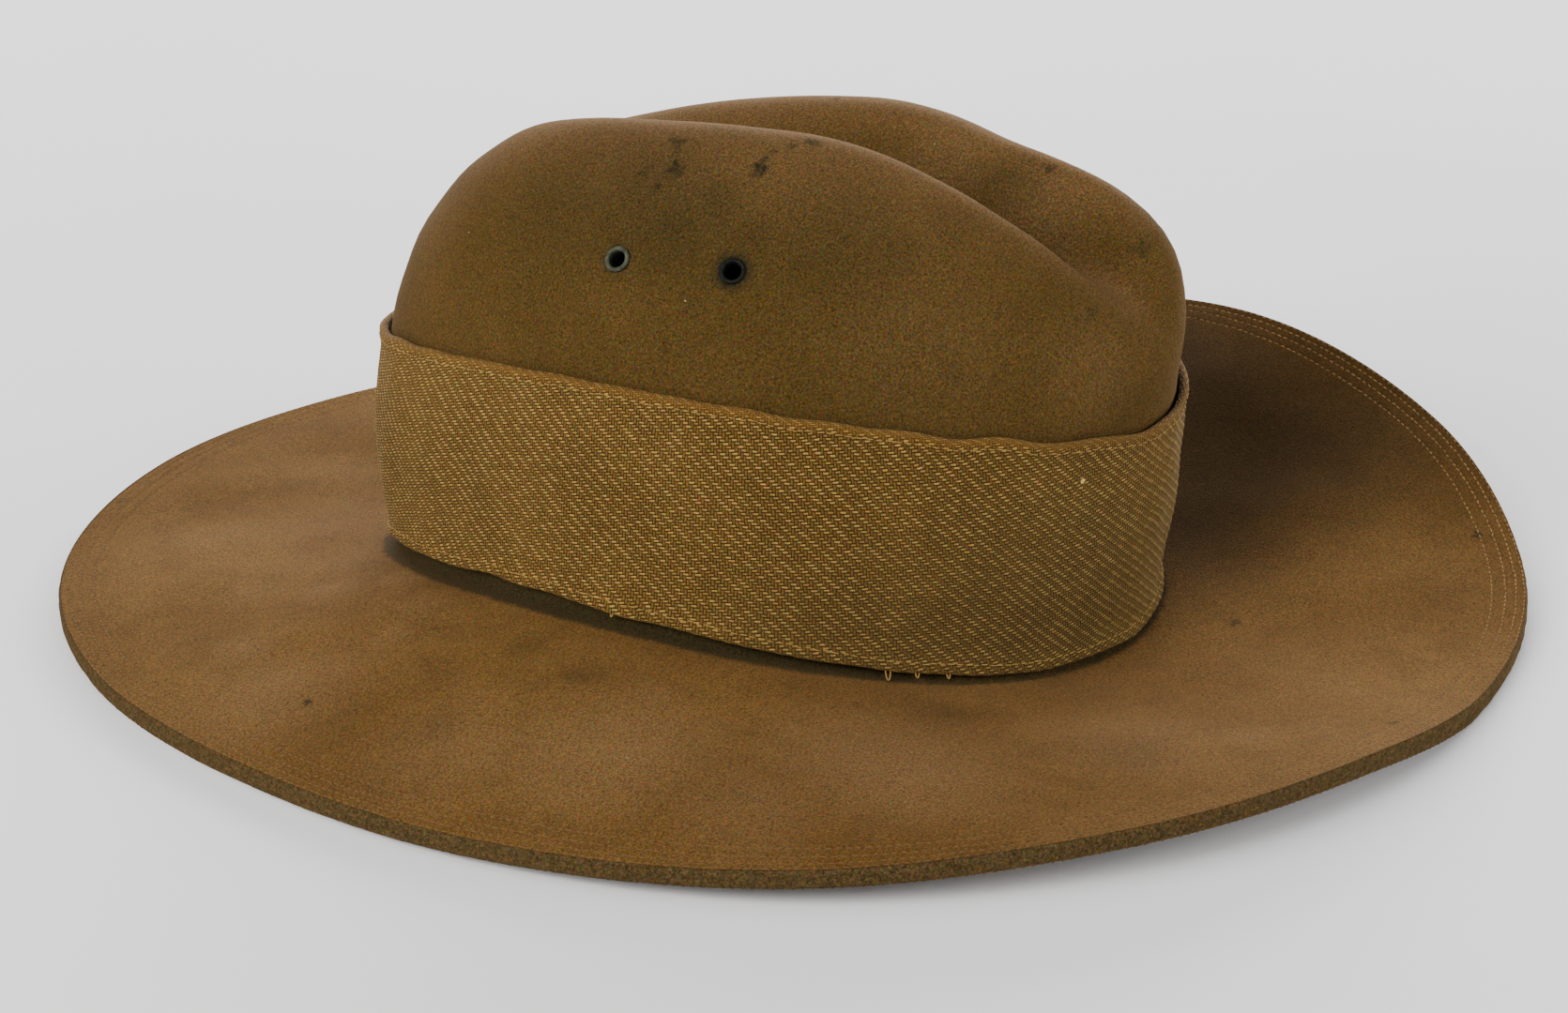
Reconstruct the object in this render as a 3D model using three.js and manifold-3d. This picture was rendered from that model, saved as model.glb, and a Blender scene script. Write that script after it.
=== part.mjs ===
// Slouch hat: one piece of felt with a creased crown and a wide brim, a folded
// band of twill cloth round the crown, and four small metal eyelets.
// Millimetres. The front is -Y, the wearer's left is +X, up is +Z, and the hat
// rests on its rim at z = 0 with the left front of the brim turned up.
import * as THREE from 'three';
import { mergeVertices } from 'three/addons/utils/BufferGeometryUtils.js';
import Module from 'manifold-3d';

// Felt hood
const crownLength = 202;        // outside of the crown at the brim, front to back
const crownWidth = 165.6;       // and from side to side
const crownTop = 140;           // highest ridge above the surface the hat rests on
const feltThickness = 2.5;
const shoulderSquareness = 4.8; // power of the curve from the wall over to the top
const topShift = 4.2;           // how far the top leans to the wearer's left
const wallLean = 10;            // measure of the wall's flare at the front and back
const breakFillet = 4;          // round between the crown's wall and the brim
const breakRise = 20;           // how far the brim's inner edge climbs at the sides

// Crease along the top
const creaseDepth = 26;
const creaseWidth = 20;
const creaseOffset = 3.5;       // to the wearer's left of the middle
const creasePower = 6;          // keeps the crease out of the walls
const ridgeBlend = 25;          // width over which one ridge's height gives way to the other's

// Brim
const frontReach = 95.4;        // from the crown to the rim, front and back
const sideReach = 98;           // and at the sides
const brimForward = 5.9;        // the rim's middle lies this far ahead of the crown's
const brimAside = 0.7;
const brimLift = 29;            // turn-up of the rim at the wearer's left front
const brimDroop = 1.45;         // power of the brim's curve: level at the crown, steeper at the rim
const rimThickness = 5;         // the felt is doubled under the stitched rim
const rimDepth = 22;            // width of that second layer
const pressDepth = 0.8;         // how far the felt flattens where it rests
const pressShare = 0.4;         // share of the brim over which the flattening fades
const restLevel = 0.6;          // how much of the droop a resting rim gives up

// Band
const bandHeight = 59;
const bandThickness = 1.8;
const hemThickness = 2.4;       // the cloth is folded over at both edges
const hemHeight = 3;
const bandGap = 0.45;           // between the band and the wall
const bandFlare = 1.6;          // the lower edge stands off the wall by this much
const bandSeat = 4.5;           // the lower edge stands above the brim by up to this much

// Eyelets
const eyeletBore = 2.2;         // radius of the hole
const eyeletWall = 0.4;
const eyeletRim = 0.8;          // how far the flange stands out from the barrel
const eyeletLip = 0.5;          // height of the rolled flange
const eyeletGap = 0.4;          // between an eyelet and the felt
const drillLength = 15;         // through the felt and out on both sides
const eyeletBarrel = eyeletBore + eyeletWall;
const eyeletFlange = eyeletBarrel + eyeletRim;

const columns = 64;             // facets round the hat
const eyeletSides = 12;
const turnStep = 0.004;         // small steps for directions across the surface

// What changes on the way round, from the front towards the wearer's left.
// plan: the crown's outline as a share of its oval
// rise: the brim's inner edge, share of breakRise
// seat: the band's lower edge above the brim, share of bandSeat
// band: the band's height, share of bandHeight
// reach: the rim's outline as a share of its oval
// lift: the rim's lower edge, share of brimLift
// rest: 1 where the rim lies flat on the surface, 0 where it is clear of it
const aroundRows = [
  { at: 0, plan: 1.000, rise: 0.035, seat: 0.33, band: 1.000, reach: 0.980, lift: 0.00, rest: 1.0 },
  { at: 22.5, plan: 1.023, rise: 0.200, seat: 0.45, band: 0.970, reach: 1.005, lift: 0.12, rest: 0.3 },
  { at: 45, plan: 1.005, rise: 0.460, seat: 0.67, band: 0.950, reach: 1.014, lift: 0.64, rest: 0.0 },
  { at: 67.5, plan: 0.980, rise: 0.670, seat: 0.78, band: 0.965, reach: 1.001, lift: 1.00, rest: 0.0 },
  { at: 90, plan: 0.994, rise: 0.685, seat: 0.78, band: 1.000, reach: 0.996, lift: 0.735, rest: 0.0 },
  { at: 112.5, plan: 1.012, rise: 0.490, seat: 0.78, band: 1.035, reach: 1.000, lift: 0.215, rest: 0.2 },
  { at: 135, plan: 1.002, rise: 0.240, seat: 0.67, band: 1.050, reach: 0.994, lift: 0.00, rest: 1.0 },
  { at: 157.5, plan: 0.991, rise: 0.100, seat: 0.55, band: 1.040, reach: 0.990, lift: 0.04, rest: 0.6 },
  { at: 180, plan: 1.004, rise: 0.145, seat: 0.67, band: 1.005, reach: 1.008, lift: 0.07, rest: 0.4 },
  { at: 202.5, plan: 1.010, rise: 0.395, seat: 0.90, band: 0.970, reach: 1.020, lift: 0.01, rest: 0.8 },
  { at: 225, plan: 0.991, rise: 0.745, seat: 1.00, band: 0.955, reach: 0.999, lift: 0.00, rest: 1.0 },
  { at: 247.5, plan: 0.983, rise: 0.990, seat: 1.00, band: 0.965, reach: 0.972, lift: 0.03, rest: 0.7 },
  { at: 270, plan: 1.010, rise: 1.020, seat: 0.78, band: 1.000, reach: 0.990, lift: 0.08, rest: 0.3 },
  { at: 292.5, plan: 1.022, rise: 0.750, seat: 0.67, band: 1.035, reach: 1.025, lift: 0.21, rest: 0.0 },
  { at: 315, plan: 0.993, rise: 0.365, seat: 0.55, band: 1.050, reach: 1.019, lift: 0.34, rest: 0.0 },
  { at: 337.5, plan: 0.975, rise: 0.080, seat: 0.45, band: 1.040, reach: 0.985, lift: 0.25, rest: 0.3 },
];

// What changes along the top, from the back (-1) to the front (1).
// right, left: the ridges' heights, share of crownTop
// depth, width: the crease, shares of creaseDepth and creaseWidth
// narrow: how much narrower the top is than the crown's foot
const topRows = [
  { along: -1, right: 0.786, left: 0.836, depth: 0.08, width: 1.20, narrow: 0.30 },
  { along: -0.6, right: 0.964, left: 0.864, depth: 0.31, width: 1.10, narrow: 0.33 },
  { along: -0.2, right: 1.000, left: 0.907, depth: 0.62, width: 1.00, narrow: 0.32 },
  { along: 0.2, right: 1.000, left: 0.932, depth: 0.92, width: 0.90, narrow: 0.32 },
  { along: 0.6, right: 0.943, left: 0.903, depth: 0.98, width: 0.73, narrow: 0.35 },
  { along: 1, right: 0.807, left: 0.918, depth: 0.60, width: 0.62, narrow: 0.34 },
];

// How the wall flares on its way up, shares of wallLean.
const wallRows = [
  { up: 0, front: 0.00, back: 0.00 },
  { up: 0.25, front: 0.55, back: 0.50 },
  { up: 0.5, front: 0.80, back: 0.40 },
  { up: 0.75, front: 1.50, back: 0.40 },
  { up: 1, front: 1.25, back: 0.45 },
];

// at: degrees from the front, up: place on the crown's profile from its foot (0) to its middle (1)
const eyeletRows = [
  { name: 'eyelet_right_rear', at: 264.8, up: 0.437 },
  { name: 'eyelet_right_front', at: 281.5, up: 0.445 },
  { name: 'eyelet_left_front', at: 78.5, up: 0.445 },
  { name: 'eyelet_left_rear', at: 95.2, up: 0.437 },
];

// Smooth value of one column at a turn in radians, through rows that close on themselves.
function around(column, turn) {
  const count = aroundRows.length;
  const place = ((turn / (2 * Math.PI)) * count + count) % count;
  const row = Math.floor(place);
  const f = place - row;
  const [a, b, c, d] = [-1, 0, 1, 2].map((k) => aroundRows[(row + k + count) % count][column]);
  const bend = (2 * a - 5 * b + 4 * c - d) * f * f + (3 * b - a - 3 * c + d) * f * f * f;
  return 0.5 * (2 * b + (c - a) * f + bend);
}

// Smooth value of one column of an open table of evenly spaced rows.
function through(rows, key, column, place) {
  const first = rows[0][key];
  const last = rows[rows.length - 1][key];
  const share = (THREE.MathUtils.clamp(place, first, last) - first) / (last - first);
  const step = share * (rows.length - 1);
  const row = Math.min(Math.floor(step), rows.length - 2);
  const f = step - row;
  const value = (k) => rows[k][column];
  const slope = (k) => {
    if (k === 0) return value(1) - value(0);
    if (k === rows.length - 1) return value(k) - value(k - 1);
    return (value(k + 1) - value(k - 1)) / 2;
  };
  const rise = value(row + 1) - value(row);
  const bend = (3 * rise - 2 * slope(row) - slope(row + 1)) * f * f;
  return value(row) + slope(row) * f + bend + (slope(row) + slope(row + 1) - 2 * rise) * f * f * f;
}

// A point from its distances ahead of the crown's middle, to the wearer's left of it, and up.
const place = (ahead, left, up) => new THREE.Vector3(left, -ahead, up);

const brimLevel = (turn) => feltThickness + around('rise', turn) * breakRise;

// The crown's foot: a flattened oval.
function footPoint(turn) {
  const plan = around('plan', turn);
  const ahead = (crownLength / 2) * plan * Math.cos(turn);
  return place(ahead, (crownWidth / 2) * plan * Math.sin(turn), brimLevel(turn));
}

// Level direction straight out from the crown's foot.
function footOutward(turn) {
  const along = footPoint(turn + turnStep).sub(footPoint(turn - turnStep));
  return new THREE.Vector3(along.y, -along.x, 0).normalize();
}

// The crown's outer face. up runs from its foot (0) over the shoulder (0.5) to the
// middle of the top (1) on a superellipse, with the crease pressed into the top.
function crownPoint(turn, up) {
  const shoulder = 0.5 ** (1 / shoulderSquareness);
  const onWall = up < 0.5;
  const given = onWall ? (shoulder * up) / 0.5 : shoulder * (2 - 2 * up);
  const other = Math.max(1 - given ** shoulderSquareness, 0) ** (1 / shoulderSquareness);
  const climb = onWall ? given : other;
  const out = onWall ? other : given;
  const plan = around('plan', turn);
  const forward = 0.5 * (1 + Math.cos(turn));
  const frontLean = through(wallRows, 'up', 'front', climb) * forward;
  const backLean = through(wallRows, 'up', 'back', climb) * (1 - forward);
  const reach = (crownLength / 2) * plan + wallLean * (frontLean + backLean);
  const ahead = reach * Math.cos(turn) * out;
  const along = ahead / (crownLength / 2);
  const top = (column) => through(topRows, 'along', column, along);
  const halfWidth = (crownWidth / 2) * plan * (1 - top('narrow') * climb ** 4);
  const left = (halfWidth * Math.sin(turn) + topShift * climb ** 2) * out;
  const side = 0.5 * (1 + Math.tanh((left - creaseOffset) / ridgeBlend));
  const height = crownTop * (top('right') * (1 - side) + top('left') * side);
  const across = (left - creaseOffset) / (creaseWidth * top('width'));
  const crease = creaseDepth * top('depth') * climb ** creasePower * Math.exp(-across * across);
  const foot = brimLevel(turn) + breakFillet;
  return place(ahead, left, foot * (1 - climb) + height * climb - crease);
}

function rimPoint(turn) {
  const reach = around('reach', turn);
  const ahead = brimForward + (crownLength / 2 + frontReach) * reach * Math.cos(turn);
  const left = brimAside + (crownWidth / 2 + sideReach) * reach * Math.sin(turn);
  return place(ahead, left, rimThickness + around('lift', turn) * brimLift);
}

// The brim's upper face, from the rim (0) to the fillet at the crown (1).
function brimPoint(turn, inward) {
  const rim = rimPoint(turn);
  const inner = footPoint(turn).addScaledVector(footOutward(turn), breakFillet);
  const outward = 1 - inward;
  const flat = restLevel * around('rest', turn);
  const level = outward * outward * (3 - 2 * outward);
  const drop = (1 - flat) * outward ** brimDroop + flat * level;
  const point = inner.clone().lerp(rim, outward);
  point.z = inner.z + (rim.z - inner.z) * drop;
  return point;
}

// The quarter round between the brim (0) and the crown's wall (1).
function filletPoint(turn, up) {
  const angle = (up * Math.PI) / 2;
  const out = breakFillet * (1 - Math.sin(angle));
  const point = footPoint(turn).addScaledVector(footOutward(turn), out);
  point.z += breakFillet * (1 - Math.cos(angle));
  return point;
}

// The whole outer face in one run: brim 0 to 1, fillet 1 to 2, crown 2 to 3.
function feltPoint(turn, run) {
  if (run < 1) return brimPoint(turn, run);
  if (run < 2) return filletPoint(turn, run - 1);
  return crownPoint(turn, Math.min(run - 2, 1));
}

function feltNormal(turn, run) {
  const along = feltPoint(turn, run + turnStep).sub(feltPoint(turn, Math.max(run - turnStep, 0)));
  const round = feltPoint(turn + turnStep, run).sub(feltPoint(turn - turnStep, run));
  return round.cross(along).normalize();
}

// The inner face: the felt's thickness inside the crown, and straight below the brim.
function liningPoint(turn, run) {
  return feltPoint(turn, run).addScaledVector(feltNormal(turn, run), -feltThickness);
}

function underPoint(turn, inward, thickness) {
  const point = brimPoint(turn, inward);
  const pressed = pressDepth * THREE.MathUtils.clamp(around('rest', turn), 0, 1);
  const nearRim = Math.max(1 - inward / pressShare, 0);
  point.z = Math.max(point.z - thickness - pressed * nearRim, 0);
  return point;
}

// A closed mesh from rings of points, in order from one to the next. Without poles the
// last ring joins the first, with poles a point closes each end.
function ringsToMesh(rings, startPole, endPole) {
  const positions = rings.flat().flatMap((point) => point.toArray());
  const indices = [];
  const index = (ring, column) => ring * columns + (column % columns);
  const joins = startPole ? rings.length - 1 : rings.length;
  for (let ring = 0; ring < joins; ring += 1) {
    const next = (ring + 1) % rings.length;
    for (let column = 0; column < columns; column += 1) {
      const [a, b] = [index(ring, column), index(ring, column + 1)];
      const [c, d] = [index(next, column), index(next, column + 1)];
      indices.push(a, b, d, a, d, c);
    }
  }
  if (startPole) {
    const start = positions.length / 3;
    positions.push(...startPole.toArray(), ...endPole.toArray());
    for (let column = 0; column < columns; column += 1) {
      indices.push(start, index(0, column + 1), index(0, column));
      const last = rings.length - 1;
      indices.push(start + 1, index(last, column), index(last, column + 1));
    }
  }
  const geometry = new THREE.BufferGeometry();
  geometry.setAttribute('position', new THREE.Float32BufferAttribute(positions, 3));
  geometry.setIndex(indices);
  return geometry;
}

const turns = Array.from({ length: columns }, (_, k) => (k / columns) * 2 * Math.PI);
const ring = (point) => turns.map(point);

// Share of the way in from the rim at which the second layer of felt ends.
function layerEnd(turn) {
  const inner = footPoint(turn).addScaledVector(footOutward(turn), breakFillet);
  const rim = rimPoint(turn);
  return rimDepth / Math.hypot(rim.x - inner.x, rim.y - inner.y);
}

const crownSteps = [
  0, 0.07, 0.15, 0.24, 0.32, 0.39, 0.425, 0.46, 0.5, 0.55, 0.6, 0.66, 0.72, 0.78, 0.84, 0.9, 0.95,
];
const filletSteps = [0, 1 / 3, 2 / 3];
const rimSteps = [0, 0.2, 0.55, 1];
const brimSteps = [0.2, 0.42, 0.64, 0.84];
const layerStep = 0.03;         // the second layer's cut edge, share of its width

function feltGeometry() {
  const rings = [];
  const onBrim = (turn, step) => layerEnd(turn) + (1 - layerEnd(turn)) * step;
  for (const step of rimSteps) rings.push(ring((turn) => brimPoint(turn, layerEnd(turn) * step)));
  for (const step of brimSteps) rings.push(ring((turn) => brimPoint(turn, onBrim(turn, step))));
  for (const step of filletSteps) rings.push(ring((turn) => filletPoint(turn, step)));
  for (const step of crownSteps) rings.push(ring((turn) => crownPoint(turn, step)));
  const outerPole = crownPoint(0, 1);
  const innerRings = [];
  for (const step of rimSteps) {
    innerRings.push(ring((turn) => underPoint(turn, layerEnd(turn) * step, rimThickness)));
  }
  innerRings.push(ring((turn) => underPoint(turn, layerEnd(turn) * (1 + layerStep), feltThickness)));
  for (const step of brimSteps) {
    innerRings.push(ring((turn) => underPoint(turn, onBrim(turn, step), feltThickness)));
  }
  for (const step of filletSteps) innerRings.push(ring((turn) => liningPoint(turn, 1 + step)));
  for (const step of crownSteps) innerRings.push(ring((turn) => liningPoint(turn, 2 + step)));
  const innerPole = crownPoint(0, 1).sub(new THREE.Vector3(0, 0, feltThickness));
  return ringsToMesh([...innerRings.reverse(), ...rings], innerPole, outerPole);
}

// The place on the crown's outer face at a given height, on the wall.
function wallAt(turn, height) {
  let low = 0;
  let high = 0.5;
  for (let k = 0; k < 30; k += 1) {
    const middle = (low + high) / 2;
    if (crownPoint(turn, middle).z < height) low = middle;
    else high = middle;
  }
  return (low + high) / 2;
}

// Rows of the band's section from its lower edge to its upper: height as a share of the
// band's and in hems, and how far the inner face stands off the wall beyond the gap, share
// of bandFlare.
const bandRows = [
  { up: 0, hems: 0, off: 1.0, hem: true },
  { up: 0, hems: 1, off: 0.5, hem: true },
  { up: 0.25, hems: 0, off: 0.1, hem: false },
  { up: 0.5, hems: 0, off: 0.0, hem: false },
  { up: 0.75, hems: 0, off: 0.05, hem: false },
  { up: 1, hems: -1, off: 0.1, hem: true },
  { up: 1, hems: 0, off: 0.2, hem: true },
];

function bandPoint(turn, row, thickness) {
  const low = brimLevel(turn) + bandSeat * around('seat', turn);
  const height = low + bandHeight * around('band', turn) * row.up + hemHeight * row.hems;
  const point = crownPoint(turn, wallAt(turn, height));
  point.z = height;
  const off = bandGap + bandFlare * row.off + thickness;
  return point.addScaledVector(footOutward(turn), off);
}

function bandGeometry() {
  const rings = [];
  for (const row of bandRows) {
    const thickness = row.hem ? hemThickness : bandThickness;
    rings.push(ring((turn) => bandPoint(turn, row, thickness)));
  }
  for (const row of [...bandRows].reverse()) rings.push(ring((turn) => bandPoint(turn, row, 0)));
  return ringsToMesh(rings);
}

// One eyelet on its own axis, its felt's outer face at z = 0: a barrel with a rolled
// flange on each side of the felt.
function eyeletGeometry() {
  const inner = -feltThickness - eyeletGap;
  const crest = eyeletGap + eyeletLip;
  const profile = [
    [eyeletBore, inner - eyeletLip],
    [eyeletFlange, inner - eyeletLip],
    [eyeletFlange, inner],
    [eyeletBarrel, inner],
    [eyeletBarrel, eyeletGap],
    [eyeletFlange, eyeletGap],
    [eyeletFlange - eyeletLip / 3, crest - eyeletLip / 4],
    [(eyeletBore + eyeletFlange) / 2, crest],
    [eyeletBore, crest - eyeletLip / 3],
  ];
  const points = [...profile, profile[0]].map(([x, y]) => new THREE.Vector2(x, y));
  return new THREE.LatheGeometry(points, eyeletSides).rotateX(Math.PI / 2);
}

function setOnFelt(object, row) {
  const turn = THREE.MathUtils.degToRad(row.at);
  const normal = feltNormal(turn, 2 + row.up);
  object.position.copy(crownPoint(turn, row.up));
  object.quaternion.setFromUnitVectors(new THREE.Vector3(0, 0, 1), normal);
  object.updateMatrix();
}

const wasm = await Module();
wasm.setup();

function toSolid(geometry) {
  const bare = geometry.clone();
  bare.deleteAttribute('normal');
  bare.deleteAttribute('uv');
  const merged = mergeVertices(bare, 1e-4);
  return new wasm.Manifold(new wasm.Mesh({
    numProp: 3,
    vertProperties: new Float32Array(merged.attributes.position.array),
    triVerts: new Uint32Array(merged.index.array),
  }));
}

function fromSolid(solid) {
  const mesh = solid.getMesh();
  const geometry = new THREE.BufferGeometry();
  geometry.setAttribute('position', new THREE.Float32BufferAttribute(mesh.vertProperties, 3));
  geometry.setIndex(Array.from(mesh.triVerts));
  geometry.computeVertexNormals();
  return geometry;
}

function drilledFelt() {
  let solid = toSolid(feltGeometry());
  const drill = new THREE.CylinderGeometry(
    eyeletBarrel + eyeletGap,
    eyeletBarrel + eyeletGap,
    drillLength,
    eyeletSides,
  ).rotateX(Math.PI / 2);
  for (const row of eyeletRows) {
    const holder = new THREE.Object3D();
    setOnFelt(holder, row);
    solid = solid.subtract(toSolid(drill.clone().applyMatrix4(holder.matrix)));
  }
  return fromSolid(solid);
}

const feltMaterial = new THREE.MeshStandardMaterial({ color: '#7d5a36', roughness: 0.95, metalness: 0 });
const clothMaterial = new THREE.MeshStandardMaterial({ color: '#86663a', roughness: 0.9, metalness: 0 });
const eyeletMaterial = new THREE.MeshStandardMaterial({ color: '#5d5f52', roughness: 0.5, metalness: 0.8 });

const hat = new THREE.Group();

const felt = new THREE.Mesh(drilledFelt(), feltMaterial);
felt.name = 'felt_body';
hat.add(felt);

const band = new THREE.Mesh(bandGeometry(), clothMaterial);
band.geometry.computeVertexNormals();
band.name = 'cloth_band';
hat.add(band);

for (const row of eyeletRows) {
  const eyelet = new THREE.Mesh(eyeletGeometry(), eyeletMaterial);
  eyelet.name = row.name;
  setOnFelt(eyelet, row);
  hat.add(eyelet);
}

// The hat stands with the middle of its outline over the origin.
felt.geometry.computeBoundingBox();
const middle = felt.geometry.boundingBox.getCenter(new THREE.Vector3());
hat.position.set(-middle.x, -middle.y, 0);

export default hat;
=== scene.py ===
import math

import bpy
import numpy as np
from mathutils import Matrix, Vector


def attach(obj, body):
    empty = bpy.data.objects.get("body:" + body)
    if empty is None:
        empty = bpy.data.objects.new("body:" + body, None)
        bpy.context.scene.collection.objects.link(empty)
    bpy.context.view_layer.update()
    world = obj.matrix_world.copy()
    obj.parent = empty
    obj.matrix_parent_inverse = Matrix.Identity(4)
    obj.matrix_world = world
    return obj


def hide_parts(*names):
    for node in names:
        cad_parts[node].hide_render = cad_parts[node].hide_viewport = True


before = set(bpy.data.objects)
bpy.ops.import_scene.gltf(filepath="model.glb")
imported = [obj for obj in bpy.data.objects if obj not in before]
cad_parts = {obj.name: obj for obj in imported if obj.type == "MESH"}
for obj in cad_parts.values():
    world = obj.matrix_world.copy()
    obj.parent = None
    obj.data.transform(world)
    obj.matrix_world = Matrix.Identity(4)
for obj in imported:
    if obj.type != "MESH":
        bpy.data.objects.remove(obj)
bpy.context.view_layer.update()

fullTurn = 2 * math.pi
metre = 0.001

# Felt hood, the sizes that it shares with the frame
felt = dict(
    crownLength=202, crownWidth=165.6, crownTop=140, thickness=2.5,
    shoulderSquareness=4.8, topShift=4.2, wallLean=10, breakFillet=4, breakRise=20,
    creaseDepth=26, creaseWidth=20, creaseOffset=3.5, creasePower=4, ridgeBlend=25,
    frontReach=95.4, sideReach=98, brimForward=5.9, brimAside=0.7, brimLift=29,
    brimDroop=1.45, rimThickness=5, rimDepth=22, pressDepth=0.8, pressShare=0.4,
    restLevel=0.6,
    columns=480,          # facets round the hat
    topEnd=2.985,         # run of the last row, just short of the crown's middle
    stitchGroove=0.12,    # how deep a row of stitches pulls the felt in
    grooveWidth=0.5,
    layerStep=0.7,        # run of the second layer's cut edge
    edgeRound=0.7,        # how far the rim's upper corner is worn back
)

# How far use has moved the felt: size and height of a wide and of a close unevenness
feltWear = dict(wideSize=70, closeSize=24, brimWide=0.5, brimClose=0.16, crownWide=0.55,
                crownClose=0.2)

# The rim's cut face, from below upwards: share of the way down, and how far in it lies
rimProfile = dict(
    down=(0.94, 0.78, 0.6, 0.5, 0.4, 0.22, 0.06),
    inset=(0.45, 0.08, 0.05, 0.28, 0.05, 0.0, 0.3),
)

# What changes on the way round, every 22.5 degrees from the front to the wearer's left
aroundRows = dict(
    plan=(1.000, 1.023, 1.005, 0.980, 0.994, 1.012, 1.002, 0.991,
          1.004, 1.010, 0.991, 0.983, 1.010, 1.022, 0.993, 0.975),
    rise=(0.035, 0.200, 0.460, 0.670, 0.685, 0.490, 0.240, 0.100,
          0.145, 0.395, 0.745, 0.990, 1.020, 0.750, 0.365, 0.080),
    seat=(0.33, 0.45, 0.67, 0.78, 0.78, 0.78, 0.67, 0.55,
          0.67, 0.90, 1.00, 1.00, 0.78, 0.67, 0.55, 0.45),
    band=(1.000, 0.970, 0.950, 0.965, 1.000, 1.035, 1.050, 1.040,
          1.005, 0.970, 0.955, 0.965, 1.000, 1.035, 1.050, 1.040),
    reach=(0.980, 1.005, 1.014, 1.001, 0.996, 1.000, 0.994, 0.990,
           1.008, 1.020, 0.999, 0.972, 0.990, 1.025, 1.019, 0.985),
    lift=(0.00, 0.12, 0.64, 1.00, 0.735, 0.215, 0.00, 0.04,
          0.07, 0.01, 0.00, 0.03, 0.08, 0.21, 0.34, 0.25),
    rest=(1.0, 0.3, 0.0, 0.0, 0.0, 0.2, 1.0, 0.6,
          0.4, 0.8, 1.0, 0.7, 0.3, 0.0, 0.0, 0.3),
    lean=(0.40, 0.30, 0.15, 0.00, -0.05, 0.00, 0.00, 0.00,
          0.00, -0.05, -0.10, -0.10, 0.00, 0.17, 0.34, 0.42),
    strip=(1.6, 1.8, 2.0, 2.2, 2.0, 1.6, 1.4, 1.6,
           2.0, 2.6, 3.4, 3.6, 3.2, 2.4, 1.6, 1.4),
)

# What changes along the top, from the back (-1) to the front (1)
topRows = dict(
    right=(0.786, 0.964, 1.000, 1.000, 0.943, 0.807),
    left=(0.836, 0.864, 0.907, 0.932, 0.903, 0.918),
    depth=(0.08, 0.31, 0.62, 0.92, 0.98, 0.72),
    width=(1.20, 1.10, 1.00, 0.90, 0.73, 0.62),
    narrow=(0.30, 0.33, 0.32, 0.32, 0.35, 0.34),
)

# How the wall flares on its way up, from the foot (0) to the top (1)
wallRows = dict(front=(0.00, 0.55, 0.80, 1.50, 1.25), back=(0.00, 0.50, 0.40, 0.40, 0.45))

# Rows of stitches round the rim, millimetres in from the edge
stitchRows = (0.9, 3.05, 5.85, 9.4)


def around(column, turn):
    # A Catmull-Rom curve through rows that close on themselves.
    rows = np.array(aroundRows[column])
    count = len(rows)
    step = (turn / fullTurn * count) % count
    row = np.floor(step).astype(int) % count
    f = step - np.floor(step)
    a, b, c, d = (rows[(row + k) % count] for k in (-1, 0, 1, 2))
    bend = (2 * a - 5 * b + 4 * c - d) * f**2 + (3 * b - a - 3 * c + d) * f**3
    return 0.5 * (2 * b + (c - a) * f + bend)


def through(rows, first, last, at):
    # Cubic pieces through evenly spaced rows, with the mean slope of the neighbours.
    rows = np.array(rows)
    step = np.clip((at - first) / (last - first), 0, 1) * (len(rows) - 1)
    row = np.minimum(np.floor(step).astype(int), len(rows) - 2)
    f = step - row
    slope = np.gradient(rows)
    rise = rows[row + 1] - rows[row]
    bend = (3 * rise - 2 * slope[row] - slope[row + 1]) * f**2
    return rows[row] + slope[row] * f + bend + (slope[row] + slope[row + 1] - 2 * rise) * f**3


def spot(ahead, left, up):
    # A point from its distance ahead, to the wearer's left and up.
    return np.stack(np.broadcast_arrays(left, -ahead, up), axis=-1)


def smoothStep(low, high, value):
    # Eases from 0 at low to 1 at high.
    share = np.clip((value - low) / (high - low), 0, 1)
    return share * share * (3 - 2 * share)


def unit(vectors):
    return vectors / np.maximum(np.linalg.norm(vectors, axis=-1, keepdims=True), 1e-9)


def ripple(points, size, seed, waves=18):
    # A smooth uneven field between about -1 and 1: the mean of sine waves that run in
    # random directions, each about size long.
    rng = np.random.default_rng(seed)
    total = np.zeros(points.shape[:-1])
    for _ in range(waves):
        direction = rng.normal(size=3)
        direction *= fullTurn / (size * rng.uniform(0.7, 1.6)) / np.linalg.norm(direction)
        total += np.sin(points @ direction + rng.uniform(0, fullTurn))
    return total / math.sqrt(waves)


def brimLevel(turn):
    # Height of the line where the brim meets the crown.
    return felt["thickness"] + around("rise", turn) * felt["breakRise"]


def footPoint(turn):
    # The crown's foot: an oval whose radius follows the plan column.
    plan = around("plan", turn)
    ahead = felt["crownLength"] / 2 * plan * np.cos(turn)
    return spot(ahead, felt["crownWidth"] / 2 * plan * np.sin(turn), brimLevel(turn))


def footOutward(turn, step=0.004):
    # Level, and square to the foot's outline.
    along = footPoint(turn + step) - footPoint(turn - step)
    return unit(np.stack([along[..., 1], -along[..., 0], 0 * turn], axis=-1))


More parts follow.
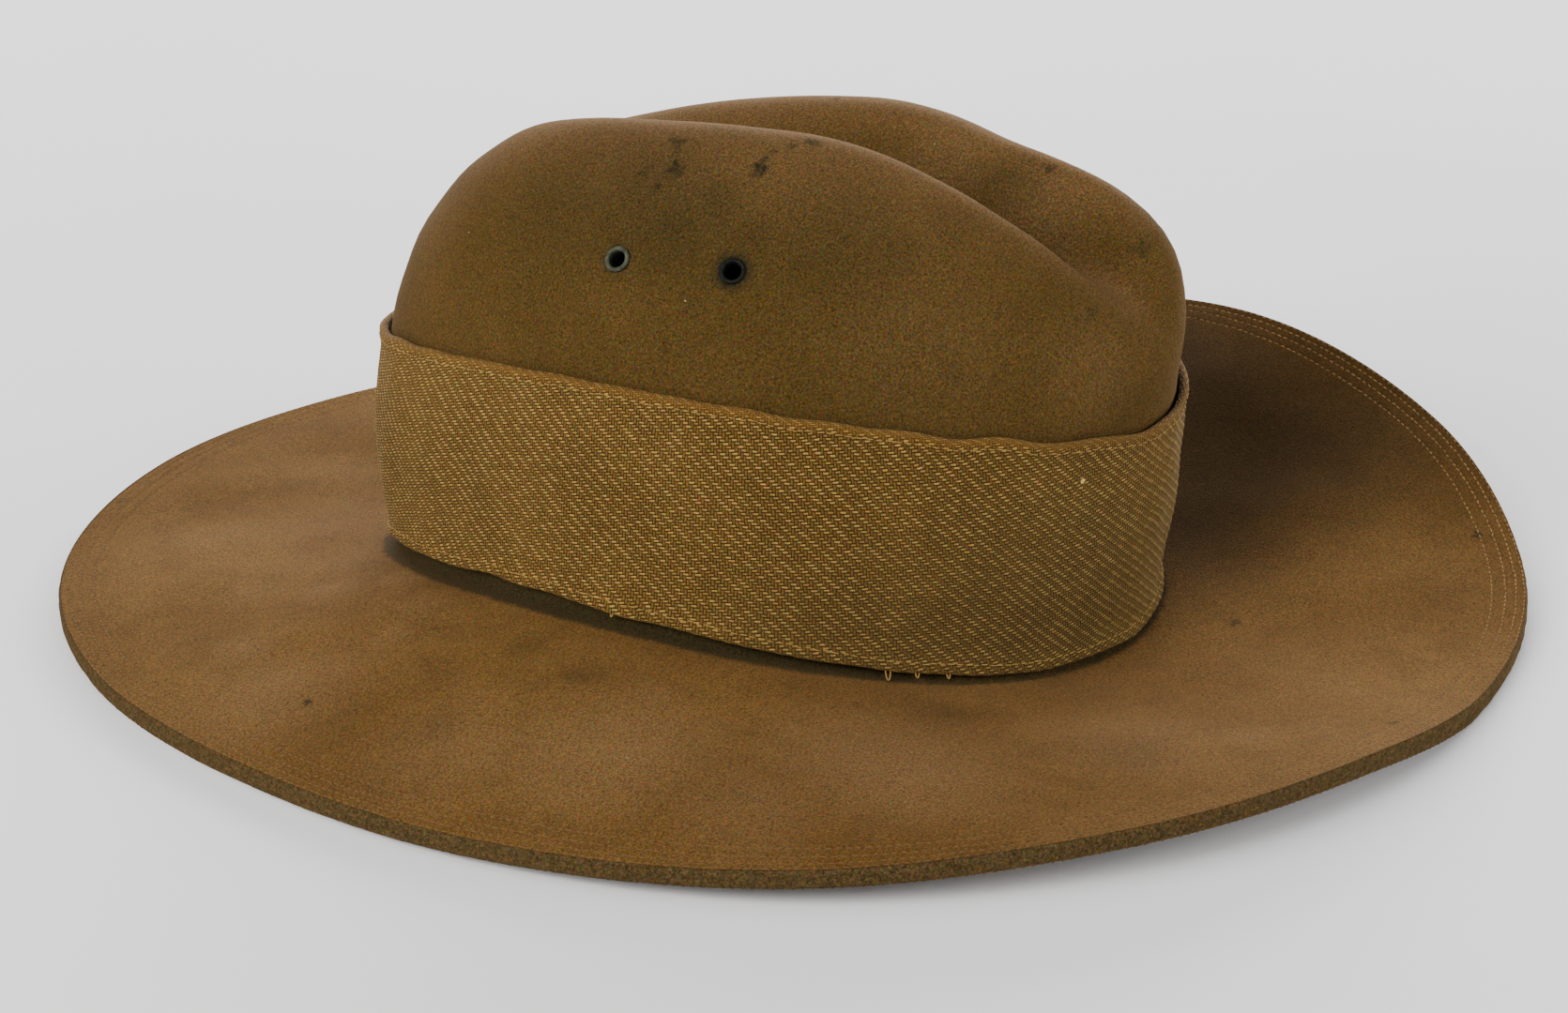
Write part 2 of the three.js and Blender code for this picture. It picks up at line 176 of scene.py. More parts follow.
def crownPoint(turn, up):
    # A superellipse in section from the foot (up 0) over the shoulder (0.5) to the middle
    # (1): out and climb are its two coordinates, with the crease pressed into the top.
    power = felt["shoulderSquareness"]
    shoulder = 0.5 ** (1 / power)
    turn, up = np.broadcast_arrays(turn, up)
    onWall = up < 0.5
    given = np.where(onWall, shoulder * up / 0.5, shoulder * (2 - 2 * up))
    other = np.maximum(1 - given**power, 0) ** (1 / power)
    climb = np.where(onWall, given, other)
    out = np.where(onWall, other, given)
    plan = around("plan", turn)
    forward = 0.5 * (1 + np.cos(turn))
    lean = through(wallRows["front"], 0, 1, climb) * forward
    lean = lean + through(wallRows["back"], 0, 1, climb) * (1 - forward)
    half = felt["crownLength"] / 2
    ahead = (half * plan + felt["wallLean"] * lean) * np.cos(turn) * out
    top = {column: through(rows, -1, 1, ahead / half) for column, rows in topRows.items()}
    halfWidth = felt["crownWidth"] / 2 * plan * (1 - top["narrow"] * climb**4)
    left = (halfWidth * np.sin(turn) + felt["topShift"] * climb**2) * out
    side = 0.5 * (1 + np.tanh((left - felt["creaseOffset"]) / felt["ridgeBlend"]))
    height = felt["crownTop"] * (top["right"] * (1 - side) + top["left"] * side)
    across = (left - felt["creaseOffset"]) / (felt["creaseWidth"] * top["width"])
    crease = felt["creaseDepth"] * top["depth"] * climb ** felt["creasePower"]
    foot = brimLevel(turn) + felt["breakFillet"]
    return spot(ahead, left, foot * (1 - climb) + height * climb - crease * np.exp(-across**2))


def rimPoint(turn):
    # The rim: an oval of the crown's half sizes plus the brim's, times the reach column,
    # with the lift column as its height.
    reach = around("reach", turn)
    ahead = (felt["crownLength"] / 2 + felt["frontReach"]) * reach * np.cos(turn)
    left = (felt["crownWidth"] / 2 + felt["sideReach"]) * reach * np.sin(turn)
    up = felt["rimThickness"] + around("lift", turn) * felt["brimLift"]
    return spot(felt["brimForward"] + ahead, felt["brimAside"] + left, up)


def brimInner(turn):
    # The brim's inner edge, one fillet out from the foot.
    return footPoint(turn) + footOutward(turn) * felt["breakFillet"]


def brimWidth(turn):
    # The level distance from rim to inner edge.
    return np.linalg.norm((rimPoint(turn) - brimInner(turn))[..., :2], axis=-1)


def brimPoint(turn, inward):
    # From the rim (0) to the fillet (1): straight in plan, and in height a power curve that
    # eases level where the rim rests.
    rim, inner = rimPoint(turn), brimInner(turn)
    outward = 1 - inward
    flat = felt["restLevel"] * around("rest", turn)
    drop = (1 - flat) * outward ** felt["brimDroop"] + flat * outward**2 * (3 - 2 * outward)
    point = inner + (rim - inner) * outward[..., None]
    point[..., 2] = inner[..., 2] + (rim - inner)[..., 2] * drop
    return point


def filletPoint(turn, up):
    # A quarter round between the brim (0) and the wall (1).
    angle = up * math.pi / 2
    out = felt["breakFillet"] * (1 - np.sin(angle))
    point = footPoint(turn) + footOutward(turn) * out[..., None]
    point[..., 2] += felt["breakFillet"] * (1 - np.cos(angle))
    return point


def feltPoint(turn, run):
    # The whole outer face in one run: brim 0 to 1, fillet 1 to 2, crown 2 to 3.
    turn, run = np.broadcast_arrays(turn, run)
    onBrim = brimPoint(turn, np.clip(run, 0, 1))
    onFillet = filletPoint(turn, np.clip(run - 1, 0, 1))
    onCrown = crownPoint(turn, np.clip(run - 2, 0, 1))
    low = np.where((run < 1)[..., None], onBrim, onFillet)
    return np.where((run < 2)[..., None], low, onCrown)


def feltNormal(turn, run, step=0.004):
    # The cross product of the slopes along both parameters.
    along = feltPoint(turn, run + step) - feltPoint(turn, np.maximum(run - step, 0))
    across = feltPoint(turn + step, run) - feltPoint(turn - step, run)
    return unit(np.cross(across, along))


def wear(turn, run, points):
    # How far use has moved the felt off its smooth shape, along its normal. The wall behind
    # the band and the parts of the rim that rest stay as they are.
    freeBrim = smoothStep(0, 0.5, run) * smoothStep(1, 0.8, run)
    freeCrown = smoothStep(2.36, 2.43, run)
    wide = ripple(points, feltWear["wideSize"], 11)
    close = ripple(points, feltWear["closeSize"], 12)
    onBrim = feltWear["brimWide"] * wide + feltWear["brimClose"] * close
    onCrown = feltWear["crownWide"] * wide + feltWear["crownClose"] * close
    return freeBrim * onBrim + freeCrown * onCrown


def feltOuter(turn, run):
    # The outer face: moved along its normal by the wear, less a dip shaped like a bell
    # curve at each row of stitches.
    points = feltPoint(turn, run)
    normal = feltNormal(turn, run)
    moved = wear(turn, run, points)
    inwards = np.broadcast_to(run, moved.shape) * brimWidth(np.broadcast_to(turn, moved.shape))
    for row in stitchRows:
        dip = np.exp(-(((inwards - row) / felt["grooveWidth"]) ** 2))
        moved = moved - felt["stitchGroove"] * dip
    return points + normal * moved[..., None]


def feltInner(turn, run, thickness):
    # The felt's thickness inside the crown, and straight below the brim, pressed flat where
    # the rim rests.
    points = feltPoint(turn, run)
    normal = feltNormal(turn, run)
    moved = wear(turn, run, points)[..., None] * normal
    crown = points + moved - normal * felt["thickness"]
    pressed = felt["pressDepth"] * np.clip(around("rest", turn), 0, 1)
    nearRim = np.maximum(1 - run / felt["pressShare"], 0)
    under = points + moved
    under[..., 2] = np.maximum(under[..., 2] - thickness - pressed * nearRim, 0)
    return np.where((run < 1)[..., None], under, crown)


def outlineMiddle(turns=64):
    # Middle of the rim's outline, which stands over the origin.
    rim = rimPoint(np.arange(turns) / turns * fullTurn)
    middle = (rim.min(0) + rim.max(0)) / 2
    return np.array([middle[0], middle[1], 0.0])


hatShift = -outlineMiddle()


def addObject(name, data):
    item = bpy.data.objects.new(name, data)
    bpy.context.scene.collection.objects.link(item)
    return item


def gridMesh(name, points, uv=None, poles=None, joined=False):
    # A mesh from rows of points that close on themselves. joined closes the last row to the
    # first, poles gives a point for each end instead. uv is for a joined mesh, and has one
    # more row and column than points.
    rows, columns = points.shape[:2]
    index = np.arange(rows * columns).reshape(rows, columns)
    nextColumn = np.roll(index, -1, axis=1)
    last = rows if joined else rows - 1
    a, b = index[:last], nextColumn[:last]
    c, d = np.roll(index, -1, axis=0)[:last], np.roll(nextColumn, -1, axis=0)[:last]
    quads = np.stack([a, b, d, c], axis=-1).reshape(-1, 4)
    corners = [quads.ravel()]
    sizes = [np.full(len(quads), 4)]
    co = points.reshape(-1, 3)
    if poles is not None:
        start = len(co)
        co = np.concatenate([co, np.array(poles)])
        fan = np.full(columns, start)
        corners.append(np.stack([fan, nextColumn[0], index[0]], axis=-1).ravel())
        corners.append(np.stack([fan + 1, index[-1], nextColumn[-1]], axis=-1).ravel())
        sizes.append(np.full(2 * columns, 3))
    sizes = np.concatenate(sizes)
    corners = np.concatenate(corners)
    mesh = bpy.data.meshes.new(name)
    mesh.vertices.add(len(co))
    mesh.vertices.foreach_set("co", ((co + hatShift) * metre).astype(np.float32).ravel())
    mesh.loops.add(len(corners))
    mesh.loops.foreach_set("vertex_index", corners.astype(np.int32))
    mesh.polygons.add(len(sizes))
    starts = np.concatenate([[0], np.cumsum(sizes)[:-1]])
    mesh.polygons.foreach_set("loop_start", starts.astype(np.int32))
    mesh.polygons.foreach_set("use_smooth", np.full(len(sizes), True))
    if uv is not None:
        layer = mesh.uv_layers.new(name="UVMap")
        low, high = uv[:last], uv[1:last + 1]
        quadUv = np.stack([low[:, :-1], low[:, 1:], high[:, 1:], high[:, :-1]], axis=2)
        layer.data.foreach_set("uv", quadUv.astype(np.float32).ravel())
    mesh.update(calc_edges=True)
    mesh.validate()
    return addObject(name, mesh)


def pointValue(piece, name, values):
    # One number at each point of the mesh, for the material to read.
    values = np.asarray(values, dtype=np.float32).ravel()
    full = np.zeros(len(piece.data.vertices), dtype=np.float32)
    full[:len(values)] = values
    piece.data.attributes.new(name, "FLOAT", "POINT").data.foreach_set("value", full)


class Finish:
    # A material being made. Each method adds one node and gives its output, and takes
    # numbers or other nodes' outputs.
    def __init__(self, name, **constants):
        self.material = bpy.data.materials.new(name)
        self.material.use_nodes = True
        self.tree = self.material.node_tree
        self.shader = self.tree.nodes["Principled BSDF"]
        for socket, value in constants.items():
            self.shader.inputs[socket.replace("_", " ")].default_value = value

    def add(self, kind, output, inputs, **settings):
        node = self.tree.nodes.new(kind)
        for key, value in settings.items():
            setattr(node, key, value)
        for key, value in inputs.items():
            self.feed(node.inputs[key], value)
        return node.outputs[output]

    def feed(self, socket, value):
        if isinstance(value, bpy.types.NodeSocket):
            self.tree.links.new(value, socket)
        else:
            socket.default_value = value

    def calc(self, operation, a, b=0.0):
        return self.add("ShaderNodeMath", 0, {0: a, 1: b}, operation=operation)

    def plus(self, a, b):
        return self.calc("ADD", a, b)

    def times(self, a, b):
        return self.calc("MULTIPLY", a, b)

    def arch(self, value, width):
        # One half of a sine wave over each width.
        return self.calc("SINE", self.times(value, math.pi / width))

    def vector(self, operation, a, b=(0, 0, 0), output=0):
        return self.add("ShaderNodeVectorMath", output, {0: a, 1: b}, operation=operation)

    def dim(self, colour, share):
        scaled = self.vector("SCALE", colour)
        self.feed(scaled.node.inputs["Scale"], share)
        return scaled

    def split(self, vector):
        # The x, y and z of a vector.
        node = self.tree.nodes.new("ShaderNodeSeparateXYZ")
        self.feed(node.inputs[0], vector)
        return node.outputs

    def stray(self, place, size, rough=0.55):
        # A noise vector about zero, up to a half each way.
        noise = self.noise(place, size, 3, rough, output="Color")
        return self.vector("SUBTRACT", noise, (0.5, 0.5, 0.5))

    def position(self):
        # Object coordinates in millimetres.
        place = self.add("ShaderNodeTexCoord", "Object", {})
        return self.vector("MULTIPLY", place, (1000, 1000, 1000))

    def noise(self, place, size, detail=3.0, rough=0.55, output="Fac"):
        return self.add("ShaderNodeTexNoise", output,
                        {"Vector": place, "Scale": 1 / size, "Detail": detail, "Roughness": rough})

    def span(self, value, low, high, toLow=0.0, toHigh=1.0, kind="SMOOTHSTEP"):
        return self.add("ShaderNodeMapRange", 0,
                        {"Value": value, "From Min": low, "From Max": high,
                         "To Min": toLow, "To Max": toHigh}, interpolation_type=kind)

    def speckle(self, colour, noise, reach, toLow, toHigh):
        # The colour times a noise whose channels each run from toLow to toHigh.
        grain = self.add("ShaderNodeMapRange", "Vector",
                         {"Vector": noise, "From Min": (0.5 - reach,) * 3,
                          "From Max": (0.5 + reach,) * 3, "To Min": toLow, "To Max": toHigh},
                         data_type="FLOAT_VECTOR")
        return self.blend(1.0, colour, grain, "MULTIPLY")

    def blend(self, share, a, b, mode="MIX"):
        # Sockets 0, 6 and 7 are the share and the two colours.
        node = self.tree.nodes.new("ShaderNodeMix")
        node.data_type = "RGBA"
        node.blend_type = mode
        for key, value in ((0, share), (6, a), (7, b)):
            self.feed(node.inputs[key], (*value, 1.0) if isinstance(value, tuple) else value)
        return node.outputs[2]

    def attribute(self, name):
        return self.add("ShaderNodeAttribute", "Fac", {}, attribute_name=name)

    def bump(self, height, distance, strength):
        # Relief, with its depth in millimetres.
        return self.add("ShaderNodeBump", 0, {"Height": height, "Distance": distance * metre,
                                              "Strength": strength})

    def finish(self, **sockets):
        for socket, value in sockets.items():
            self.feed(self.shader.inputs[socket.replace("_", " ")], value)
        return self.material


# Camera: where the photograph was taken from, in the hat's own frame
cameraView = dict(
    place=(-929.9, -425.2, 438.4),
    heading=24.36,        # degrees from +X towards +Y
    fall=22.1,            # below the horizon
    roll=-0.79,
    lens=94.68,
    sensor=36.0,
)


def makeCamera():
    heading, fall, roll = (math.radians(cameraView[k]) for k in ("heading", "fall", "roll"))
    forward = Vector((math.cos(fall) * math.cos(heading), math.cos(fall) * math.sin(heading),
                      -math.sin(fall)))
    level = Vector((math.sin(heading), -math.cos(heading), 0))
    upright = level.cross(forward)
    right = level * math.cos(roll) + upright * math.sin(roll)
    up = right.cross(forward)
    data = bpy.data.cameras.new("camera")
    data.lens = cameraView["lens"]
    data.sensor_width = cameraView["sensor"]
    data.clip_start = 0.05
    data.clip_end = 60
    camera = addObject("camera", data)
    turned = Matrix((right, up, -forward)).transposed().to_4x4()
    at = (np.array(cameraView["place"]) + hatShift) * metre
    camera.matrix_world = Matrix.Translation(Vector(at)) @ turned
    bpy.context.scene.camera = camera


makeCamera()
print("camera set")


# Felt hood

def upperRuns(turn, fillet, wall, top):
    # Evenly spaced runs over the fillet (1 to 2), the wall (to 2.5) and the top, as many
    # rows of each as are asked for.
    runs = [np.linspace(1, 2, fillet)[:-1], np.linspace(2, 2.5, wall)[:-1],
            np.linspace(2.5, felt["topEnd"], top)]
    return np.ones_like(turn) * np.concatenate(runs)[:, None]


def feltColumn(turn):
    # Runs of the outer face from the rim to the middle of the crown, one column of rows,
    # close together where the rows of stitches are.
    closeRows = np.arange(0, 11.3, 0.4)
    rimRuns = closeRows[:, None] / brimWidth(turn)[None]
    edge = rimRuns[-1]
    brimRuns = edge + (1 - edge) * np.linspace(0, 1, 32)[1:-1, None]
    return np.concatenate([rimRuns, brimRuns, upperRuns(turn, 7, 26, 36)])


def liningColumn(turn):
    # Runs and thickness of the inner face: two layers near the rim, one beyond them.
    width = brimWidth(turn)
    doubled = np.array([0.8, 2.5, 6, 10, 14, 18, 21.5, felt["rimDepth"]])[:, None] / width[None]
    single = (felt["rimDepth"] + felt["layerStep"]) / width
    brimRuns = single + (1 - single) * np.linspace(0, 1, 18)[:-1, None]
    runs = np.concatenate([doubled, brimRuns, upperRuns(turn, 6, 16, 20)])
    thickness = np.full(len(runs), felt["thickness"])
    thickness[:len(doubled)] = felt["rimThickness"]
    return runs, thickness[:, None]


def rimFace(turn):
    # The cut edge of both layers, from below to the top corner: the straight line between
    # them, drawn in by the profile and roughened, with a shallow groove between the layers.
    top = feltOuter(turn[None], np.zeros((1, len(turn))))[0]
    low = feltInner(turn[None], np.zeros((1, len(turn))), felt["rimThickness"])[0]
    down, inset = (np.array(rimProfile[column]) for column in ("down", "inset"))
    points = top[None] + (low - top)[None] * down[:, None, None]
    rough = 0.06 * ripple(points, 6, 21) + 0.05 * ripple(points, 2.6, 22)
    outward = footOutward(turn)
    return points - outward[None] * (inset[:, None] - rough)[..., None]


# Painted shadow on the brim beside the crown's left front, where the crown and the turned-up brim
# shade it: where it fades towards the front and the back, in degrees from the front, and where along
# the run from the rim to the wall
paintedShadowArea = dict(front=(24, 50), back=(118, 90), rim=(-0.40, 0.45), wall=(1.6, 1.0), turned=12)


def paintedBrimShadow(turn, run):
    # The painted shadow's strength: the product of four eased edges, turned forward close to the
    # crown.
    turned = np.degrees(turn) + paintedShadowArea["turned"] * smoothStep(0.4, 0.9, run)
    beside = smoothStep(*paintedShadowArea["front"], turned) * smoothStep(*paintedShadowArea["back"], turned)
    return beside * smoothStep(*paintedShadowArea["rim"], run) * smoothStep(*paintedShadowArea["wall"], run)


def makeFelt():
    # Rows of the lining, the rim's face and the outer face, closed by a pole at each end.
    turn = np.arange(felt["columns"]) / felt["columns"] * fullTurn
    outerRuns = feltColumn(turn)
    innerRuns, thickness = liningColumn(turn)
    outer = feltOuter(turn[None], outerRuns)
    outer[0] -= footOutward(turn) * felt["edgeRound"]
    inner = feltInner(np.broadcast_to(turn, innerRuns.shape), innerRuns, thickness)
    face = rimFace(turn)
    points = np.concatenate([inner[::-1], face, outer])
    middle = np.zeros(1)
    outerPole = feltOuter(middle, np.full(1, 3.0))[0]
    outerPole[2] = outer[-1, :, 2].mean()
    innerPole = outerPole - np.array([0, 0, felt["thickness"]])
    piece = gridMesh("felt_hood", points, poles=(innerPole, outerPole))
    runs = np.concatenate([innerRuns[::-1], np.zeros((len(face), len(turn))), outerRuns])
    isInner = np.zeros(points.shape[:2])
    isInner[:len(inner)] = 1
    isFace = np.zeros(points.shape[:2])
    isFace[len(inner):len(inner) + len(face) + 1] = 1
    # paler where the crown faces up: faded felt, and painted light on the upward faces
    upward = feltNormal(turn[None], outerRuns)[..., 2]
    onTop = smoothStep(0.6, 1, upward) * smoothStep(2.35, 2.45, outerRuns)
    isFadedAndToplit = np.zeros(points.shape[:2])
    isFadedAndToplit[len(inner) + len(face):] = onTop
    pointValue(piece, "run", runs)
    pointValue(piece, "inside", isInner)
    pointValue(piece, "cutEdge", isFace)
    pointValue(piece, "fadedAndToplit", isFadedAndToplit)
    # painted shadow on the brim beside the crown's left front
    pointValue(piece, "paintedBrimShadow", paintedBrimShadow(turn, runs) * (1 - isInner) * (1 - isFace))
    fromFoot = (1 - np.clip(runs, 0, 1)) * brimWidth(turn)
    pointValue(piece, "outsideStrip", fromFoot - around("strip", turn))
    return piece


# Marks on the felt: x, y and z of the middle in millimetres, size, and how strong
darkMarks = (
    (-40.3, 9.0, 135.9, 2.8, 0.75), (-45.3, 7.2, 133.8, 1.8, 0.5), (-49.3, 5.3, 131.6, 3.4, 0.95),
    (-54.6, 8.0, 127.9, 2.0, 0.6), (-50.7, 12.9, 130.6, 1.9, 0.55), (-42.6, 7.6, 135.0, 2.0, 0.5),
    (-44.7, -15.6, 133.2, 3.2, 1.0), (-41.8, -15.6, 134.7, 2.2, 0.8), (-38.7, -16.8, 135.9, 1.9, 0.75),
    (-35.3, -20.3, 136.5, 2.2, 0.8), (-31.8, -23.9, 136.7, 2.8, 0.85), (-46.9, -15.2, 132.0, 2.2, 0.6),
    (21.6, -67.4, 119.8, 2.6, 0.7), (23.0, -62.0, 121.5, 1.8, 0.5),
    (11.8, -95.4, 104.3, 3.4, 0.45), (13.7, -96.5, 104.6, 4.2, 0.5), (8.5, -92.0, 105.5, 2.2, 0.5),
    (33.3, -2.0, 127.8, 2.0, 0.7), (30.0, -12.0, 128.0, 1.6, 0.5), (-17.2, -93.5, 97.1, 2.2, 0.45),
    (-54.2, -70.0, 89.2, 4.5, 0.2), (-25.5, -28.5, 136.5, 1.6, 0.5),
    (-134.1, 68.8, 11.1, 1.8, 0.95), (-99.5, 51.1, 19.8, 2.0, 0.45), (-128.0, 45.0, 13.5, 2.6, 0.5),
    (15.5, -122.1, 3.3, 2.4, 0.8), (-37.8, -180.4, 8.2, 1.8, 0.8), (80.1, -169.4, 10.6, 2.6, 0.9),
    (-103.7, 3.0, 21.0, 1.8, 0.5), (-150.0, 20.0, 6.0, 1.6, 0.6), (-90.0, -60.0, 14.0, 2.0, 0.45),
)
dimPatches = (
    (-55.5, -7.7, 126.4, 17, 0.55), (-61.7, -0.3, 121.4, 16, 0.6), (-60.9, 18.1, 121.3, 15, 0.45),
    (-60.0, -19.8, 120.8, 12, 0.4), (-68.4, 1.8, 113.5, 12, 0.3), (-48.6, -52.3, 116.5, 14, 0.3),
    (-31.2, -60.0, 119.0, 12, 0.25), (2.0, -78.0, 112.0, 15, 0.4), (16.0, -60.0, 117.0, 12, 0.3),
    (-103.7, 23.5, 21.0, 9, 0.35), (-113.3, 3.1, 20.9, 10, 0.35), (-80.0, -77.6, 10.8, 14, 0.3),
    (-120.0, 40.0, 15.0, 10, 0.25), (-83.7, -127.6, 11.4, 22, 0.25), (-140.0, 30.0, 10.0, 12, 0.2),
    (-56.0, 8.0, 124.0, 36, 0.50), (-50.0, -38.0, 124.0, 30, 0.30), (-55.5, 33.8, 122.7, 34, 0.40),
    (-56.2, -43.1, 115.3, 30, 0.25),
)
# Pale marks in the felt. The wide rows on the brim, on the wearer's right, are painted light that
# lifts the brim where the panels leave it too dark.
paleMarksAndPaintedLight = (
    (-80.4, 118.0, 10.1, 12, 0.2), (-77.8, 95.1, 14.7, 12, 0.3), (-69.4, 77.2, 17.8, 11, 0.25),
    (-88.0, 60.0, 19.0, 12, 0.2), (-116.0, -16.1, 19.1, 13, 0.3), (-111.6, -53.9, 15.3, 11, 0.3),
    (-129.3, -85.7, 14.1, 12, 0.3), (-122.0, -72.0, 14.5, 9, 0.25), (-104.0, 62.0, 18.0, 10, 0.2),
    (-140.0, -45.0, 10.0, 12, 0.25), (-60.0, -150.0, 11.0, 14, 0.25), (-110.0, 100.0, 9.0, 14, 0.25),
    (-140.0, -18.0, 15.0, 42, 0.45), (-118.0, -81.0, 14.0, 46, 0.55), (-77.0, -125.0, 10.5, 36, 0.35),
    (-150.0, -59.0, 14.0, 34, 0.35), (-131.0, 78.0, 10.0, 34, 0.30), (-148.0, 21.0, 12.5, 34, 0.30),
    (-55.0, -65.0, 98.0, 36, 0.10), (-25.0, -97.0, 83.0, 24, 0.15), (10.9, -66.4, 110.0, 24, 0.35),
    (16.3, -41.0, 118.0, 22, 0.30),
)


def addMarks(look, place, rows, softness):
    # The strongest mark at a point: each one fades from its middle to its edge.
    strongest = 0.0
    for x, y, z, size, strength in rows:
        far = look.vector("DISTANCE", place, (x, y, z), output=1)
        mark = look.span(far, size, size * softness, 0.0, strength)
        strongest = look.calc("MAXIMUM", mark, strongest)
    return strongest


# Felt colours: a darker and a paler tone of each part, and what lies over them
feltLook = dict(
    # the brim's tones are paler than the crown's: partly the felt's own tone, partly painted sheen
    # where the back light grazes the brim
    brim=((0.092, 0.0465, 0.0118), (0.114, 0.060, 0.0165)),
    crown=((0.051, 0.0303, 0.0082), (0.065, 0.0370, 0.0104)),
    cutEdge=((0.036, 0.024, 0.0095), (0.068, 0.043, 0.0165)),
    lining=((0.070, 0.045, 0.0165), (0.092, 0.058, 0.021)),
    patch=(0.045, 0.0275, 0.0085), patchShare=0.26,
    # faded felt and painted light on the crown's upward faces
    fadedAndToplit=(0.150, 0.082, 0.032), fadedAndToplitShare=0.5,
    # pale marks, and painted light on the brim on the wearer's right
    pale=(0.165, 0.095, 0.040),
    dim=(0.026, 0.0195, 0.0065),
    # painted shadow beside the crown's left front, and how strongly it darkens the felt
    deep=(0.0052, 0.0044, 0.0021), paintedShadowShare=0.70,
    strip=(0.013, 0.0138, 0.0066), stripShare=0.85,
    mark=(0.013, 0.014, 0.007),
    halo=(0.013, 0.014, 0.008), haloWide=2.4, haloShare=0.45,
    blackHaloWide=3.4, blackHaloShare=0.92,
    fleck=(0.42, 0.35, 0.25), fleckShare=0.6,
    ragged=8,             # how far the marks' edges are pulled about
)


def feltFinish():
    tone = feltLook
    look = Finish("worn brown felt", Roughness=1.0, Specular_IOR_Level=0.02,
                  Sheen_Weight=0.05, Sheen_Roughness=0.5, Sheen_Tint=(1.0, 0.60, 0.3, 1))
    place = look.position()
    run = look.attribute("run")
    wide = look.noise(place, 55, 3)
    patches = look.noise(place, 13, 4, 0.6)
    mottle = look.noise(place, 3.2, 3, 0.6)
    close = look.noise(place, 1.2, 3, 0.7)
    fine = look.noise(place, 0.55, 3, 0.7)
    stray = look.stray(place, 2.6, 0.7)
    ragged = look.vector("ADD", place, look.vector("MULTIPLY", stray, (tone["ragged"],) * 3))
    share = look.span(wide, 0.35, 0.65)
    brim = look.blend(share, *tone["brim"])
    crown = look.blend(share, *tone["crown"])
    # paler brim than crown: partly the felt's tone, partly painted sheen on the brim
    base = look.blend(look.span(run, 1.7, 2.2), brim, crown)
    base = look.blend(look.span(patches, 0.42, 0.72, 0, tone["patchShare"]), base, tone["patch"])
    # faded felt and painted light where the crown faces up
    fadedAndToplit = look.times(look.attribute("fadedAndToplit"), tone["fadedAndToplitShare"])
    base = look.blend(fadedAndToplit, base, tone["fadedAndToplit"])
    # pale marks in the felt, and painted light on the brim on the wearer's right
    base = look.blend(addMarks(look, ragged, paleMarksAndPaintedLight, 0.1), base, tone["pale"])
    base = look.blend(addMarks(look, ragged, dimPatches, 0.0), base, tone["dim"])
    # painted shadow on the brim beside the crown's left front, where the crown shades it
    deep = look.times(look.attribute("paintedBrimShadow"), tone["paintedShadowShare"])
    base = look.blend(deep, base, tone["deep"])
    # a soft dark green strip along the band's lower edge: felt that the band kept from fading, and
    # painted shade in the gap under the band
    shade = look.plus(look.attribute("outsideStrip"), look.times(stray, 5.0))
    strip = look.times(look.span(shade, 0.4, -2.0), look.span(run, 2.3, 1.9))
    base = look.blend(look.times(strip, tone["stripShare"]), base, tone["strip"])
    broken = look.span(look.noise(place, 1.1, 3, 0.7), 0.38, 0.56, 0.45, 1.0)
    specks = look.times(addMarks(look, ragged, darkMarks, 0.35), broken)
    base = look.blend(specks, base, tone["mark"])
    # a dark halo round each eyelet, and a stronger one round the blackened eyelet
    halos = [(*feltSpot(row), eyelet["flange"] + tone["haloWide"], tone["haloShare"])
             for row in eyeletRows]
    halos.append((*feltSpot(eyeletRows[1]), eyelet["flange"] + tone["blackHaloWide"],
                  tone["blackHaloShare"]))
    base = look.blend(addMarks(look, place, halos, 0.3), base, tone["halo"])
    edge = look.blend(look.span(close, 0.35, 0.65), *tone["cutEdge"])
    base = look.blend(look.attribute("cutEdge"), base, edge)
    base = look.blend(look.attribute("inside"), base, look.blend(share, *tone["lining"]))
    # grain: three uneven noises, one for each colour, and a few pale flecks
    grain = look.noise(place, 0.7, 3, 0.8, output="Color")
    base = look.speckle(base, grain, 0.18, (0.56, 0.60, 0.35), (1.44, 1.40, 1.65))
    base = look.dim(base, look.span(fine, 0.32, 0.68, 0.45, 1.55, kind="LINEAR"))
    cell = look.add("ShaderNodeTexVoronoi", "Distance", {"Vector": place, "Scale": 0.06})
    fleck = look.span(look.plus(cell, look.times(fine, 0.01)), 0.022, 0.014)
    base = look.blend(look.times(fleck, tone["fleckShare"]), base, tone["fleck"])
    height = look.plus(fine, look.times(mottle, 0.8))
    return look.finish(Base_Color=base, Normal=look.bump(height, 0.3, 0.8))


# Folded twill band
band = dict(
    height=59, thickness=1.8, hemThickness=2.4, hemHeight=3.0, gap=0.45, flare=1.6,
    seat=4.5,
    warpPitch=0.77, weftPitch=0.82,
    slant=0.18,           # how far the picks fall for each millimetre along
    ribRelief=0.07,
    columns=2160,
    rows=26,
    topSeam=2.5,          # rows of stitches, in from the upper and the lower fold
    lowSeam=2.9,
)
bandFlare = dict(up=(0, 0.05, 0.25, 0.5, 0.75, 0.95, 1), share=(1, 0.5, 0.1, 0, 0.05, 0.1, 0.2))


def lengthAlong(path):
    # The length from the first point of a path to each of its points.
    steps = np.linalg.norm(np.diff(path, axis=0), axis=-1)
    return np.concatenate([[0], np.cumsum(steps)])


def turnAlong(samples=4096):
    # Turn as a function of the length round the wall at the middle of the band.
    turn = np.linspace(0, fullTurn, samples + 1)
    ring = bandWall(turn, np.full_like(turn, 0.5)) + footOutward(turn) * band["gap"]
    return lengthAlong(ring[:, :2]), turn


